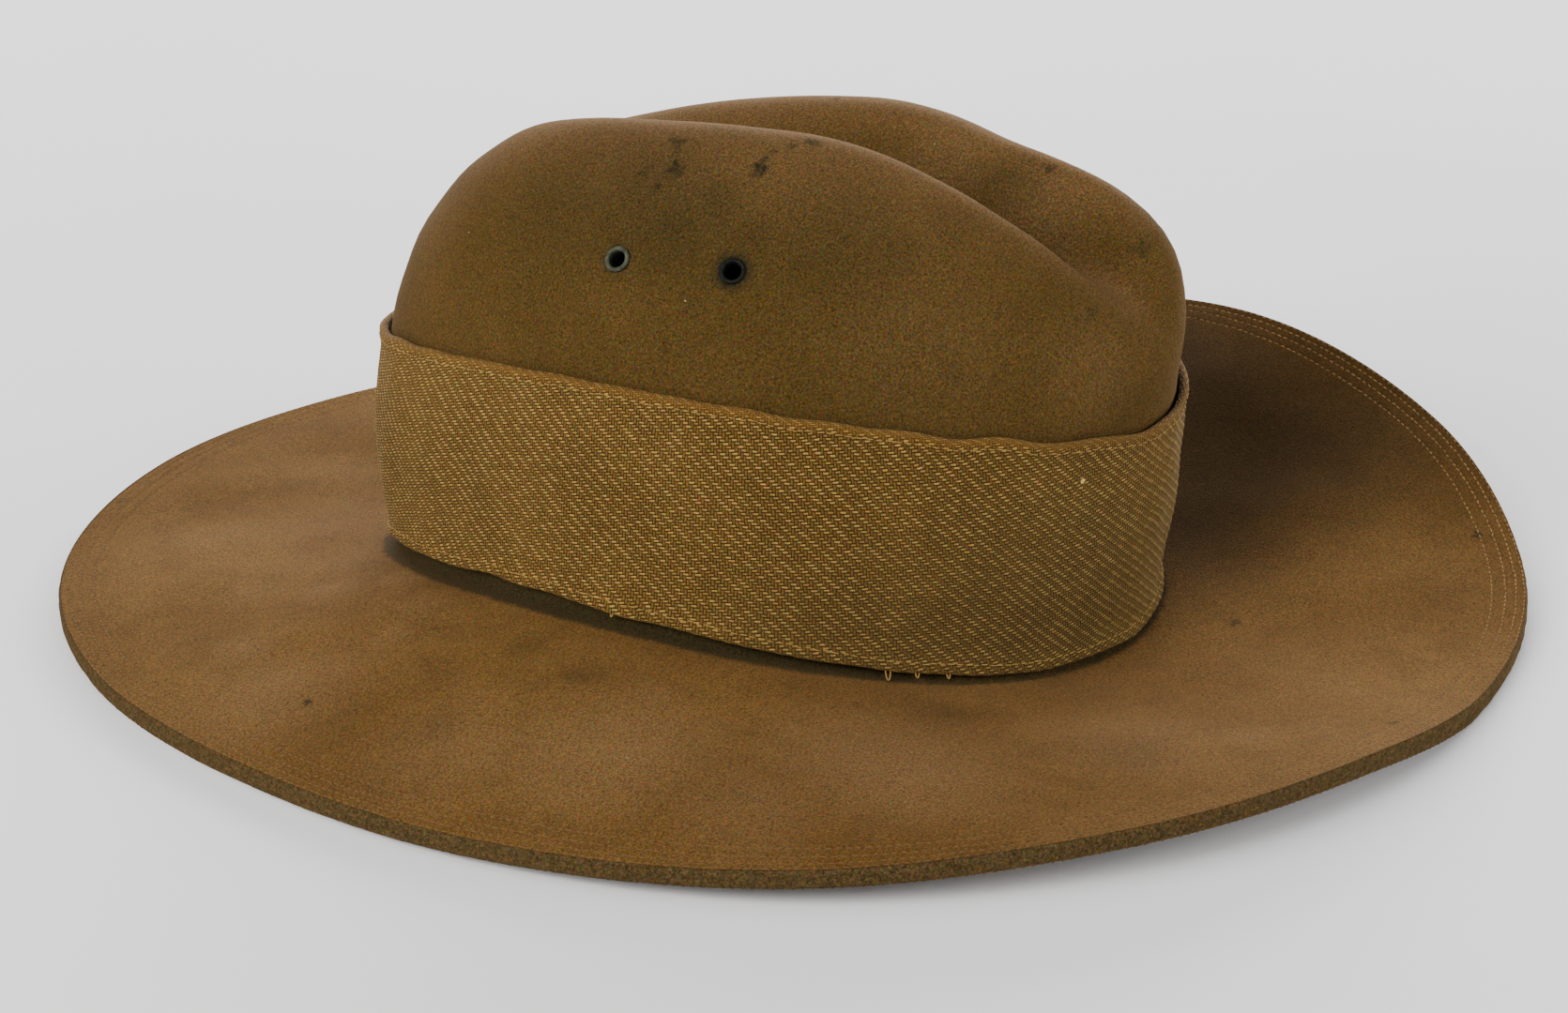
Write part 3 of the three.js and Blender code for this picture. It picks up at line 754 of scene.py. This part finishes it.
def wallUp(turn, height, halvings=22):
    # Place on the crown's profile at a height above the surface, by halving the span.
    low = np.zeros(np.broadcast(turn, height).shape)
    high = low + 0.5
    for _ in range(halvings):
        middle = (low + high) / 2
        below = crownPoint(turn, middle)[..., 2] < height
        low = np.where(below, middle, low)
        high = np.where(below, high, middle)
    return (low + high) / 2


def bandLow(turn):
    # Height of the band's lower fold.
    return brimLevel(turn) + band["seat"] * around("seat", turn)


def bandWall(turn, up):
    # The crown's wall at a share (up) of the band's height.
    height = bandLow(turn) + band["height"] * around("band", turn) * up
    point = crownPoint(turn, wallUp(turn, height))
    point[..., 2] = height
    return point


def bandSection():
    # Rows of the section from the lower fold's middle up the outer face, over the upper
    # fold and down the inner face: share of the height, how far out from the wall (0) to
    # the outer face (1), and how many rows the lower fold has.
    fold = np.linspace(-90, 90, 7)[1:-1]
    foldShare = 0.014
    lowUp = foldShare * (1 - np.cos(np.radians(fold)))
    out = 0.5 + 0.5 * np.sin(np.radians(fold))
    rise = np.linspace(foldShare, 1 - foldShare, band["rows"])
    inner = np.linspace(1 - foldShare, foldShare, 8)
    up = np.concatenate([lowUp, rise, 1 - lowUp[::-1], inner])
    side = np.concatenate([out, np.ones(len(rise)), out[::-1], np.zeros(len(inner))])
    return up, side, len(fold)


def bandFace(turn, up, side):
    # The band's surface: the wall moved outwards by the gap, the flare of the lower edge
    # and a share (side) of the cloth's thickness, which is doubled at both folds.
    high = up * band["height"]
    fromEdge = np.minimum(high, band["height"] - high)
    hem = smoothStep(band["hemHeight"] + 0.7, band["hemHeight"] - 0.2, fromEdge)
    thick = band["thickness"] + (band["hemThickness"] - band["thickness"]) * hem
    flareShare = np.interp(up, bandFlare["up"], bandFlare["share"])
    wall = bandWall(turn, up)
    off = band["gap"] + band["flare"] * flareShare + thick * side
    off = off + 0.25 * ripple(wall, 18, 31) * side * smoothStep(0, 6, fromEdge)
    points = wall + footOutward(turn) * off[..., None]
    points[..., 2] += 0.35 * ripple(wall, 22, 32) * (1 - smoothStep(0, 9, fromEdge))
    return points


def makeBand(rounds=8):
    # Columns follow the twill's ribs. A rib is a line of equal warps plus picks: the warps
    # lean forward towards the front of the hat, and the picks fall along the band. The lean
    # depends on the turn, so a few rounds settle both.
    length, turns = turnAlong()
    total = length[-1]
    warps = 4 * round(total / (4 * band["warpPitch"]))
    drop = 4 * round(total * band["slant"] / (4 * band["weftPitch"]))
    up, side, lowFoldRows = bandSection()
    columns = band["columns"]
    rib = np.arange(columns + 1) / columns * (warps - drop) / 4
    high = up[:, None] * band["height"]
    middle = band["height"] / 2
    lean = 0.0
    for _ in range(rounds):
        count = 4 * rib[None] - high / band["weftPitch"] - lean * (high - middle)
        along = count * total / (warps - drop)
        turn = np.interp(along % total, length, turns)
        lean = around("lean", turn)
    upGrid = np.broadcast_to(up[:, None], turn.shape)
    sideGrid = np.broadcast_to(side[:, None], turn.shape)
    points = bandFace(turn, upGrid, sideGrid)
    ribs = np.cos((rib - 0.375) * fullTurn)[None] * smoothStep(0.6, 1, sideGrid)
    points = points + footOutward(turn) * (band["ribRelief"] * ribs)[..., None]
    warpCount = warps * along / total + lean * (high - middle)
    # picks are counted along the cloth, so they also run over both folds and down inside
    bent = band["hemThickness"] / 2 * np.arccos(2 * side[:, None] - 1)
    isLowFold = (np.arange(len(up)) < lowFoldRows)[:, None]
    cloth = np.where(isLowFold, high - bent, high + bent)
    pickCount = cloth / band["weftPitch"] - drop * along / total
    uv = np.stack([warpCount, pickCount], axis=-1)
    # the closing row repeats the first for the texture
    uv = np.concatenate([uv, uv[:1]])
    piece = gridMesh("twill_band", points[:, :-1], uv=uv, joined=True)
    pointValue(piece, "bandUp", upGrid[:, :-1])
    return piece


# Cloth colours: a darker and a paler tone of each, and what lies over them
clothLook = dict(
    ground=((0.018, 0.011, 0.0034), (0.030, 0.018, 0.0052)),
    warp=((0.104, 0.055, 0.0126), (0.137, 0.073, 0.0168)),
    weft=((0.200, 0.115, 0.0245), (0.340, 0.204, 0.050)),
    fibre=(0.125, 0.065, 0.0145), fibreShare=0.25,
    fold=(0.165, 0.074, 0.0145), foldShare=0.35,
    front=(0.070, 0.049, 0.0190), frontShare=0.30,
    speck=(0.62, 0.46, 0.14), speckAt=(-30.6, -96.3, 56.6, 0.9, 1.0),
)


def clothFinish():
    # The UV counts warp threads (u) and picks (v). A weft float is two warps long, a warp
    # float two picks high, and each pick starts one warp further back.
    tone = clothLook
    look = Finish("olive twill", Roughness=1.0, Specular_IOR_Level=0.06,
                  Sheen_Weight=0.05, Sheen_Roughness=0.5, Sheen_Tint=(1.0, 0.8, 0.45, 1))
    place = look.position()
    uv = look.add("ShaderNodeTexCoord", "UV", {})
    drift = look.vector("MULTIPLY", look.stray(place, 5), (1.3, 1.1, 0))
    u, v, _ = look.split(look.vector("ADD", uv, drift))
    pick = look.calc("FLOOR", v)
    end = look.calc("FLOOR", u)
    stair = look.plus(u, pick)
    # each float has its own shade and length
    floatNumber = look.calc("FLOOR", look.calc("DIVIDE", stair, 4.0))
    own = look.add("ShaderNodeTexWhiteNoise", "Value",
                   {"Vector": look.add("ShaderNodeCombineXYZ", 0, {0: floatNumber, 1: pick})})
    weftLong = look.arch(look.calc("FLOORED_MODULO", stair, 4.0), 2)
    weftLong = look.plus(weftLong, look.times(look.calc("SUBTRACT", own, 0.5), 0.3))
    weft = look.times(look.span(weftLong, -0.05, 0.45), look.arch(look.calc("FRACT", v), 1))
    alongWarp = look.calc("FLOORED_MODULO", look.plus(v, end), 4.0)
    warpLong = look.span(look.arch(look.calc("SUBTRACT", alongWarp, 2.0), 2), 0.0, 0.6)
    warp = look.times(look.times(warpLong, look.arch(look.calc("FRACT", u), 1)), 0.7)
    wide = look.noise(place, 30, 3)
    fibre = look.noise(place, 0.45, 3, 0.7)
    share = look.span(wide, 0.3, 0.7)
    colour = look.blend(look.span(warp, 0.05, 0.5), look.blend(share, *tone["ground"]),
                        look.blend(share, *tone["warp"]))
    weftColour = look.blend(look.span(own, 0.1, 0.9), *tone["weft"])
    colour = look.blend(look.span(weft, 0.30, 0.90), colour, weftColour)
    fibreShare = look.span(fibre, 0.35, 0.7, 0, tone["fibreShare"])
    colour = look.blend(fibreShare, colour, tone["fibre"])
    grain = look.noise(place, 0.6, 3, 0.75, output="Color")
    colour = look.speckle(colour, grain, 0.25, (0.45, 0.50, 0.25), (1.55, 1.50, 1.75))
    # the upper fold is rubbed orange, and the front low half is greyer
    bandUp = look.attribute("bandUp")
    fold = look.span(look.plus(bandUp, look.times(fibre, 0.03)), 0.975, 1.0, 0, tone["foldShare"])
    colour = look.blend(fold, colour, tone["fold"])
    y = look.split(place)[1]
    front = look.span(look.plus(y, look.times(bandUp, 90)), 20, -60)
    colour = look.blend(look.times(front, tone["frontShare"]), colour, tone["front"])
    # one bright yellow speck on the right side
    colour = look.blend(addMarks(look, place, (tone["speckAt"],), 0.3), colour, tone["speck"])
    height = look.plus(look.calc("MAXIMUM", weft, warp), look.times(fibre, 0.35))
    return look.finish(Base_Color=colour, Normal=look.bump(height, 0.3, 0.9))


# Stitches along both folds of the band, and four loose loops of thread under it: where each
# hangs in degrees, how far down and how wide
seamThread = dict(pitch=2.3, length=2.0, radius=0.16, lift=0.06)
looseLoops = (
    dict(at=307.0, drop=3.0, wide=1.3), dict(at=311.5, drop=1.7, wide=1.0),
    dict(at=316.5, drop=1.6, wide=0.9), dict(at=268.0, drop=1.2, wide=0.8),
)


def threadLoop(turn, drop, wide, sides=6, steps=14, radius=0.17):
    # A thin tube along half an ellipse that hangs from the band's lower fold.
    here = np.array([turn])
    top = bandFace(here, np.array([0.01]), np.array([0.8]))[0]
    outward = footOutward(here)[0]
    along = np.cross([0, 0, 1.0], outward)
    angle = np.linspace(0, math.pi, steps)[:, None]
    path = top + along * wide * np.cos(angle) / 2 + outward * 0.5 * np.sin(angle)
    path[:, 2] -= drop * np.sin(angle[:, 0]) - 0.3
    ahead = unit(np.gradient(path, axis=0))
    first = unit(np.cross(ahead, outward))
    second = np.cross(ahead, first)
    spin = np.arange(sides) / sides * fullTurn
    ring = np.cos(spin)[None, :, None] * first[:, None] + np.sin(spin)[None, :, None] * second[:, None]
    body = (path[:, None] + ring * radius).reshape(-1, 3)
    index = np.arange(steps * sides).reshape(steps, sides)
    nextSide = np.roll(index, -1, axis=1)
    a, b, c, d = index[:-1], nextSide[:-1], nextSide[1:], index[1:]
    sheets = [np.stack(three, -1).reshape(-1, 3) for three in ((a, b, c), (a, c, d))]
    ends = []
    for k in range(1, sides - 1):
        ends.append((index[0, 0], index[0, k + 1], index[0, k]))
        ends.append((index[-1, 0], index[-1, k], index[-1, k + 1]))
    return body, np.concatenate([*sheets, np.array(ends)])


def makeBandStitches():
    # Stitches at even steps along both seams, uneven in place and length, and the loops.
    rng = np.random.default_rng(8)
    length, turns = turnAlong()
    bodies = []
    for up in (1 - band["topSeam"] / band["height"], band["lowSeam"] / band["height"]):
        number = int(length[-1] / seamThread["pitch"])
        at = (np.arange(number) + rng.normal(0, 0.04, number)) * length[-1] / number
        turn = np.interp(at % length[-1], length, turns)
        ups = up + rng.normal(0, 0.0018, number) + 0.004 * np.sin(3 * turn + 5 * up)
        face = np.ones(number)
        centre = bandFace(turn, ups, face)
        ahead = unit(bandFace(turn + 0.004, ups, face) - bandFace(turn - 0.004, ups, face))
        normal = footOutward(turn)
        lengths = seamThread["length"] * rng.uniform(0.75, 1.1, number)
        raised = centre + normal * seamThread["lift"]
        bodies.append(capsules(raised, ahead, normal, lengths, seamThread["radius"]))
    for loop in looseLoops:
        bodies.append(threadLoop(math.radians(loop["at"]), loop["drop"], loop["wide"]))
    return looseMesh("band_stitches", *joinBodies(bodies))


# Stitches round the rim

def capsules(centres, along, normal, lengths, radius, sides=5):
    # Small closed bodies, one at each centre: rings round a short line that dips at both
    # ends, with a point at each end.
    at = np.array([-0.78, 0.0, 0.78])
    thick = np.array([0.72, 1.0, 0.72])
    across = unit(np.cross(normal, along))
    angle = np.arange(sides) / sides * fullTurn
    ring = np.cos(angle)[:, None, None] * across[None] + np.sin(angle)[:, None, None] * normal[None]
    points = []
    half = lengths[:, None] / 2
    for place, wide in zip(at, thick):
        middle = centres + along * half * place - normal * (radius * 0.9 * place**2)
        points.append(middle[None] + ring * radius * wide)
    body = np.stack(points)                      # (rings, sides, stitches, 3)
    ends = [centres + along * half * s - normal * radius * 1.3 for s in (-1, 1)]
    count = len(centres)
    body = body.transpose(2, 0, 1, 3).reshape(count, -1, 3)
    vertices = np.concatenate([body, ends[0][:, None], ends[1][:, None]], axis=1)
    faces = []
    rings = len(at)
    for r in range(rings - 1):
        for s in range(sides):
            t = (s + 1) % sides
            a, b = r * sides + s, r * sides + t
            faces += [(a, b, b + sides), (a, b + sides, a + sides)]
    first, last = rings * sides, rings * sides + 1
    for s in range(sides):
        t = (s + 1) % sides
        faces.append((first, t, s))
        faces.append((last, (rings - 1) * sides + s, (rings - 1) * sides + t))
    per = vertices.shape[1]
    faces = (np.array(faces)[None] + (np.arange(count) * per)[:, None, None]).reshape(-1, 3)
    return vertices.reshape(-1, 3), faces


def joinBodies(bodies):
    # The points and faces of all bodies in one list each, the faces counted on.
    starts = np.cumsum([0] + [len(points) for points, _ in bodies])
    faces = [corners + start for (_, corners), start in zip(bodies, starts)]
    return np.concatenate([points for points, _ in bodies]), np.concatenate(faces)


def looseMesh(name, vertices, faces):
    mesh = bpy.data.meshes.new(name)
    mesh.from_pydata(((vertices + hatShift) * metre).tolist(), [], faces.tolist())
    mesh.polygons.foreach_set("use_smooth", np.full(len(faces), True))
    mesh.update()
    return addObject(name, mesh)


rimThread = dict(
    pitch=2.3, length=1.75, radius=0.23,
    lift=0.25,            # how far a stitch stands out, as shares of its radius
    sink=0.2,             # and how far one on the lower side is drawn in
)


def makeRimStitches():
    # Stitches at even steps along each row, uneven in place, lean and length, and the
    # same rows on the lower side.
    rng = np.random.default_rng(5)
    turnFine = np.linspace(0, fullTurn, 4097)
    bodies = []
    for row in stitchRows:
        for below in (False, True):
            length = lengthAlong(feltOuter(turnFine, row / brimWidth(turnFine)))
            number = int(length[-1] / rimThread["pitch"])
            at = np.arange(number) + rng.uniform(0, 1) + rng.normal(0, 0.05, number)
            turn = np.interp(at * length[-1] / number % length[-1], length, turnFine)
            run = (row + rng.normal(0, 0.06, number)) / brimWidth(turn)
            centre = feltOuter(turn, run)
            ahead = unit(feltOuter(turn + 0.003, run) - feltOuter(turn - 0.003, run))
            normal = feltNormal(turn, run)
            lift = rimThread["lift"]
            if below:
                centre = feltInner(turn, run, felt["rimThickness"])
                normal = -normal
                lift = -rimThread["sink"]
            tilt = rng.normal(0, 0.09, number)[:, None]
            ahead = unit(ahead + np.cross(normal, ahead) * tilt)
            lengths = rimThread["length"] * rng.uniform(0.85, 1.12, number)
            raised = centre + normal * (rimThread["radius"] * lift)
            bodies.append(capsules(raised, ahead, normal, lengths, rimThread["radius"]))
    # the rows below are pressed flat where the rim rests
    points, faces = joinBodies(bodies)
    points[:, 2] = np.maximum(points[:, 2], 0)
    return looseMesh("rim_stitches", points, faces)


# Thread colours: darker, paler, and worn
tanThread = ((0.20, 0.105, 0.034), (0.32, 0.170, 0.056), (0.125, 0.066, 0.024))
goldenThread = ((0.150, 0.086, 0.0190), (0.270, 0.160, 0.040), (0.270, 0.160, 0.040))


def threadFinish(name, low, high, worn):
    # The thread is worn down to the worn tone on the wearer's right and behind.
    look = Finish(name, Roughness=0.9, Specular_IOR_Level=0.1, Sheen_Weight=0.05)
    place = look.position()
    colour = look.blend(look.span(look.noise(place, 3, 2), 0.35, 0.65), low, high)
    x = look.split(place)[0]
    colour = look.blend(look.span(x, 90, -10), colour, worn)
    fuzz = look.bump(look.noise(place, 0.3, 2), 0.08, 0.6)
    return look.finish(Base_Color=colour, Normal=fuzz)


# Eyelets: bore, barrel and flange are radii
eyelet = dict(
    bore=2.2, barrel=2.6, flange=3.4, lip=0.5, gap=0.4, sides=48,
    drillRoom=0.1, drillReach=8, drillSides=32,
)
eyeletRows = (
    dict(name="eyelet_right_rear", at=264.8, up=0.437),
    dict(name="eyelet_right_front", at=281.5, up=0.445),
    dict(name="eyelet_left_front", at=78.5, up=0.445),
    dict(name="eyelet_left_rear", at=95.2, up=0.437),
)


def feltSpot(row):
    # An eyelet's middle on the felt, in the coordinates that materials read.
    return (eyeletPlace(row)[0] + hatShift).tolist()


def eyeletPlace(row):
    # An eyelet's middle on the felt, and the felt's normal there.
    turn = np.array([math.radians(row["at"])])
    run = np.array([2 + row["up"]])
    return feltOuter(turn, run)[0], feltNormal(turn, run)[0]


def circleRound(normal, sides):
    # A circle of radius 1, square to the normal.
    spin = np.arange(sides) / sides * fullTurn
    side = unit(np.cross(normal, [0, 0, 1.0]))
    upward = np.cross(side, normal)
    return np.cos(spin)[:, None] * side + np.sin(spin)[:, None] * upward


def makeEyelet(row):
    # A profile turned about the eyelet's axis: a rolled flange outside, the barrel, and a
    # flat flange inside, in closed order.
    inner = -felt["thickness"] - eyelet["gap"]
    angle = np.radians(np.linspace(180, 0, 9))
    middle = (eyelet["bore"] + eyelet["flange"]) / 2
    wide = (eyelet["flange"] - eyelet["bore"]) / 2
    rolled = np.stack([middle + wide * np.cos(angle),
                       eyelet["gap"] * 0.2 + (eyelet["lip"] + 0.15) * np.sin(angle)], axis=-1)
    rest = np.array([
        [eyelet["barrel"], eyelet["gap"] * 0.2], [eyelet["barrel"], inner],
        [eyelet["flange"], inner], [eyelet["flange"], inner - eyelet["lip"]],
        [eyelet["bore"], inner - eyelet["lip"]],
    ])
    profile = np.concatenate([rolled, rest])
    centre, normal = eyeletPlace(row)
    ring = circleRound(normal, eyelet["sides"])
    points = centre + profile[:, 0, None, None] * ring[None] + profile[:, 1, None, None] * normal
    return gridMesh(row["name"] + "_metal", points, joined=True)


# Metal colours: bare and tarnished
greenMetal = ((0.056, 0.058, 0.036), (0.030, 0.031, 0.019))
blackMetal = ((0.0045, 0.0045, 0.0025), (0.003, 0.003, 0.002))


def eyeletFinish(name, metal, tarnish):
    look = Finish(name, Metallic=0.15, Specular_IOR_Level=0.15)
    place = look.position()
    patches = look.noise(place, 1.5, 3)
    colour = look.blend(look.span(patches, 0.35, 0.65), metal, tarnish)
    rough = look.span(patches, 0.3, 0.7, 0.6, 0.85)
    pits = look.bump(look.noise(place, 0.4, 2), 0.05, 0.6)
    return look.finish(Base_Color=colour, Normal=pits, Roughness=rough)


def drillFelt(piece):
    # Four round holes through the wall, where the eyelets sit.
    vertices, faces = [], []
    sides = eyelet["drillSides"]
    for row in eyeletRows:
        centre, normal = eyeletPlace(row)
        ring = circleRound(normal, sides) * (eyelet["barrel"] + eyelet["drillRoom"])
        start = len(vertices)
        for depth in (-eyelet["drillReach"], eyelet["drillReach"]):
            vertices += ((centre + ring + normal * depth + hatShift) * metre).tolist()
        faces += [[start + k, start + sides + k, start + sides + (k + 1) % sides,
                   start + (k + 1) % sides] for k in range(sides)]
        faces.append([start + k for k in range(sides)])
        faces.append([start + sides + k for k in reversed(range(sides))])
    mesh = bpy.data.meshes.new("drill")
    mesh.from_pydata(vertices, [], faces)
    drill = addObject("drill", mesh)
    cut = piece.modifiers.new("holes", "BOOLEAN")
    cut.operation = "DIFFERENCE"
    cut.solver = "EXACT"
    cut.object = drill
    graph = bpy.context.evaluated_depsgraph_get()
    done = bpy.data.meshes.new_from_object(piece.evaluated_get(graph))
    piece.modifiers.clear()
    old = piece.data
    piece.data = done
    bpy.data.meshes.remove(old)
    bpy.data.objects.remove(drill)
    mendRuns(done)


def mendRuns(mesh, wallFoot=60):
    # The holes' own points come without a run. They are the only ones above the wall's foot
    # (in millimetres) whose run is less than the wall's, so they get the eyelets' run.
    place = np.zeros(3 * len(mesh.vertices), dtype=np.float32)
    mesh.vertices.foreach_get("co", place)
    runs = np.zeros(len(mesh.vertices), dtype=np.float32)
    mesh.attributes["run"].data.foreach_get("value", runs)
    isNew = (place[2::3] > wallFoot * metre) & (runs < 2)
    runs[isNew] = 2 + eyeletRows[0]["up"]
    mesh.attributes["run"].data.foreach_set("value", runs)


def dress(piece, material):
    piece.data.materials.clear()
    piece.data.materials.append(material)
    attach(piece, "root")
    return piece


hood = makeFelt()
drillFelt(hood)
dress(hood, feltFinish())
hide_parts("felt_body")
print("felt made", len(hood.data.polygons), "faces")

cloth = dress(makeBand(), clothFinish())
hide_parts("cloth_band")
print("band made", len(cloth.data.polygons), "faces")

stitches = dress(makeRimStitches(), threadFinish("tan thread", *tanThread))
seams = dress(makeBandStitches(), threadFinish("golden thread", *goldenThread))
print("stitches made", len(stitches.data.polygons) + len(seams.data.polygons), "faces")

metal = eyeletFinish("grey green metal", *greenMetal)
blackened = eyeletFinish("blackened metal", *blackMetal)
for row in eyeletRows:
    ring = makeEyelet(row)
    dress(ring, blackened if row["name"] == "eyelet_right_front" else metal)
    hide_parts(row["name"])
print("eyelets made")


# Floor and light

studio = dict(
    room=0.03,            # even light from all round
    roomColour=(0.92, 0.96, 1.0),
    distance=2.6,
    aim=0.05,             # height above the floor that the panels face
    floorHalf=12,
    floorPale=(0.87, 0.86, 0.865),
    floorSoft=(0.89, 0.885, 0.89),
)
warmWhite = (1.0, 0.99, 0.98)
coolWhite = (0.98, 0.99, 1.0)

# Soft panels: where each stands, degrees from +X and above the floor, its size in metres
# and how much light it gives
panels = (
    dict(name="back sheet", heading=18, rise=11, size=(3.4, 1.0), light=4.05, colour=warmWhite),
    dict(name="left window", heading=150, rise=25, size=(1.5, 1.3), light=1.12, colour=warmWhite),
    dict(name="high window", heading=175, rise=38, size=(1.5, 1.2), light=0.66, colour=warmWhite),
    dict(name="overhead", heading=100, rise=72, size=(2.0, 2.0), light=0.20, colour=coolWhite),
    dict(name="near fill", heading=285, rise=11, size=(2.2, 1.0), light=1.02,
         colour=(0.97, 0.98, 1.0)),
    dict(name="near left fill", heading=245, rise=30, size=(1.6, 1.2), light=0.20,
         colour=coolWhite),
)


def makeFloor():
    half = studio["floorHalf"]
    mesh = bpy.data.meshes.new("floor")
    mesh.from_pydata([(-half, -half, 0), (half, -half, 0), (half, half, 0), (-half, half, 0)], [],
                     [(0, 1, 2, 3)])
    floor = addObject("floor", mesh)
    look = Finish("pale floor", Roughness=0.9, Specular_IOR_Level=0.1)
    soft = look.noise(look.position(), 180, 2)
    colour = look.blend(look.span(soft, 0.3, 0.7), studio["floorPale"], studio["floorSoft"])
    floor.data.materials.append(look.finish(Base_Color=colour))


def makePanel(panel):
    # A panel's power is the light that reaches the hat times the square of its distance.
    data = bpy.data.lights.new(panel["name"], "AREA")
    data.shape = "RECTANGLE"
    data.size, data.size_y = panel["size"]
    data.energy = (math.pi * studio["distance"]) ** 2 * panel["light"]
    data.color = panel["colour"]
    light = addObject(panel["name"], data)
    h, e = math.radians(panel["heading"]), math.radians(panel["rise"])
    towards = Vector((math.cos(e) * math.cos(h), math.cos(e) * math.sin(h), math.sin(e)))
    light.location = towards * studio["distance"] + Vector((0, 0, studio["aim"]))
    light.rotation_mode = "QUATERNION"
    light.rotation_quaternion = (-towards).to_track_quat("-Z", "Y")


def makeLight():
    world = bpy.data.worlds.new("soft room light")
    bpy.context.scene.world = world
    world.use_nodes = True
    background = world.node_tree.nodes["Background"]
    background.inputs["Color"].default_value = (*studio["roomColour"], 1)
    background.inputs["Strength"].default_value = studio["room"]
    for panel in panels:
        makePanel(panel)


makeFloor()
makeLight()
print("light and floor set")
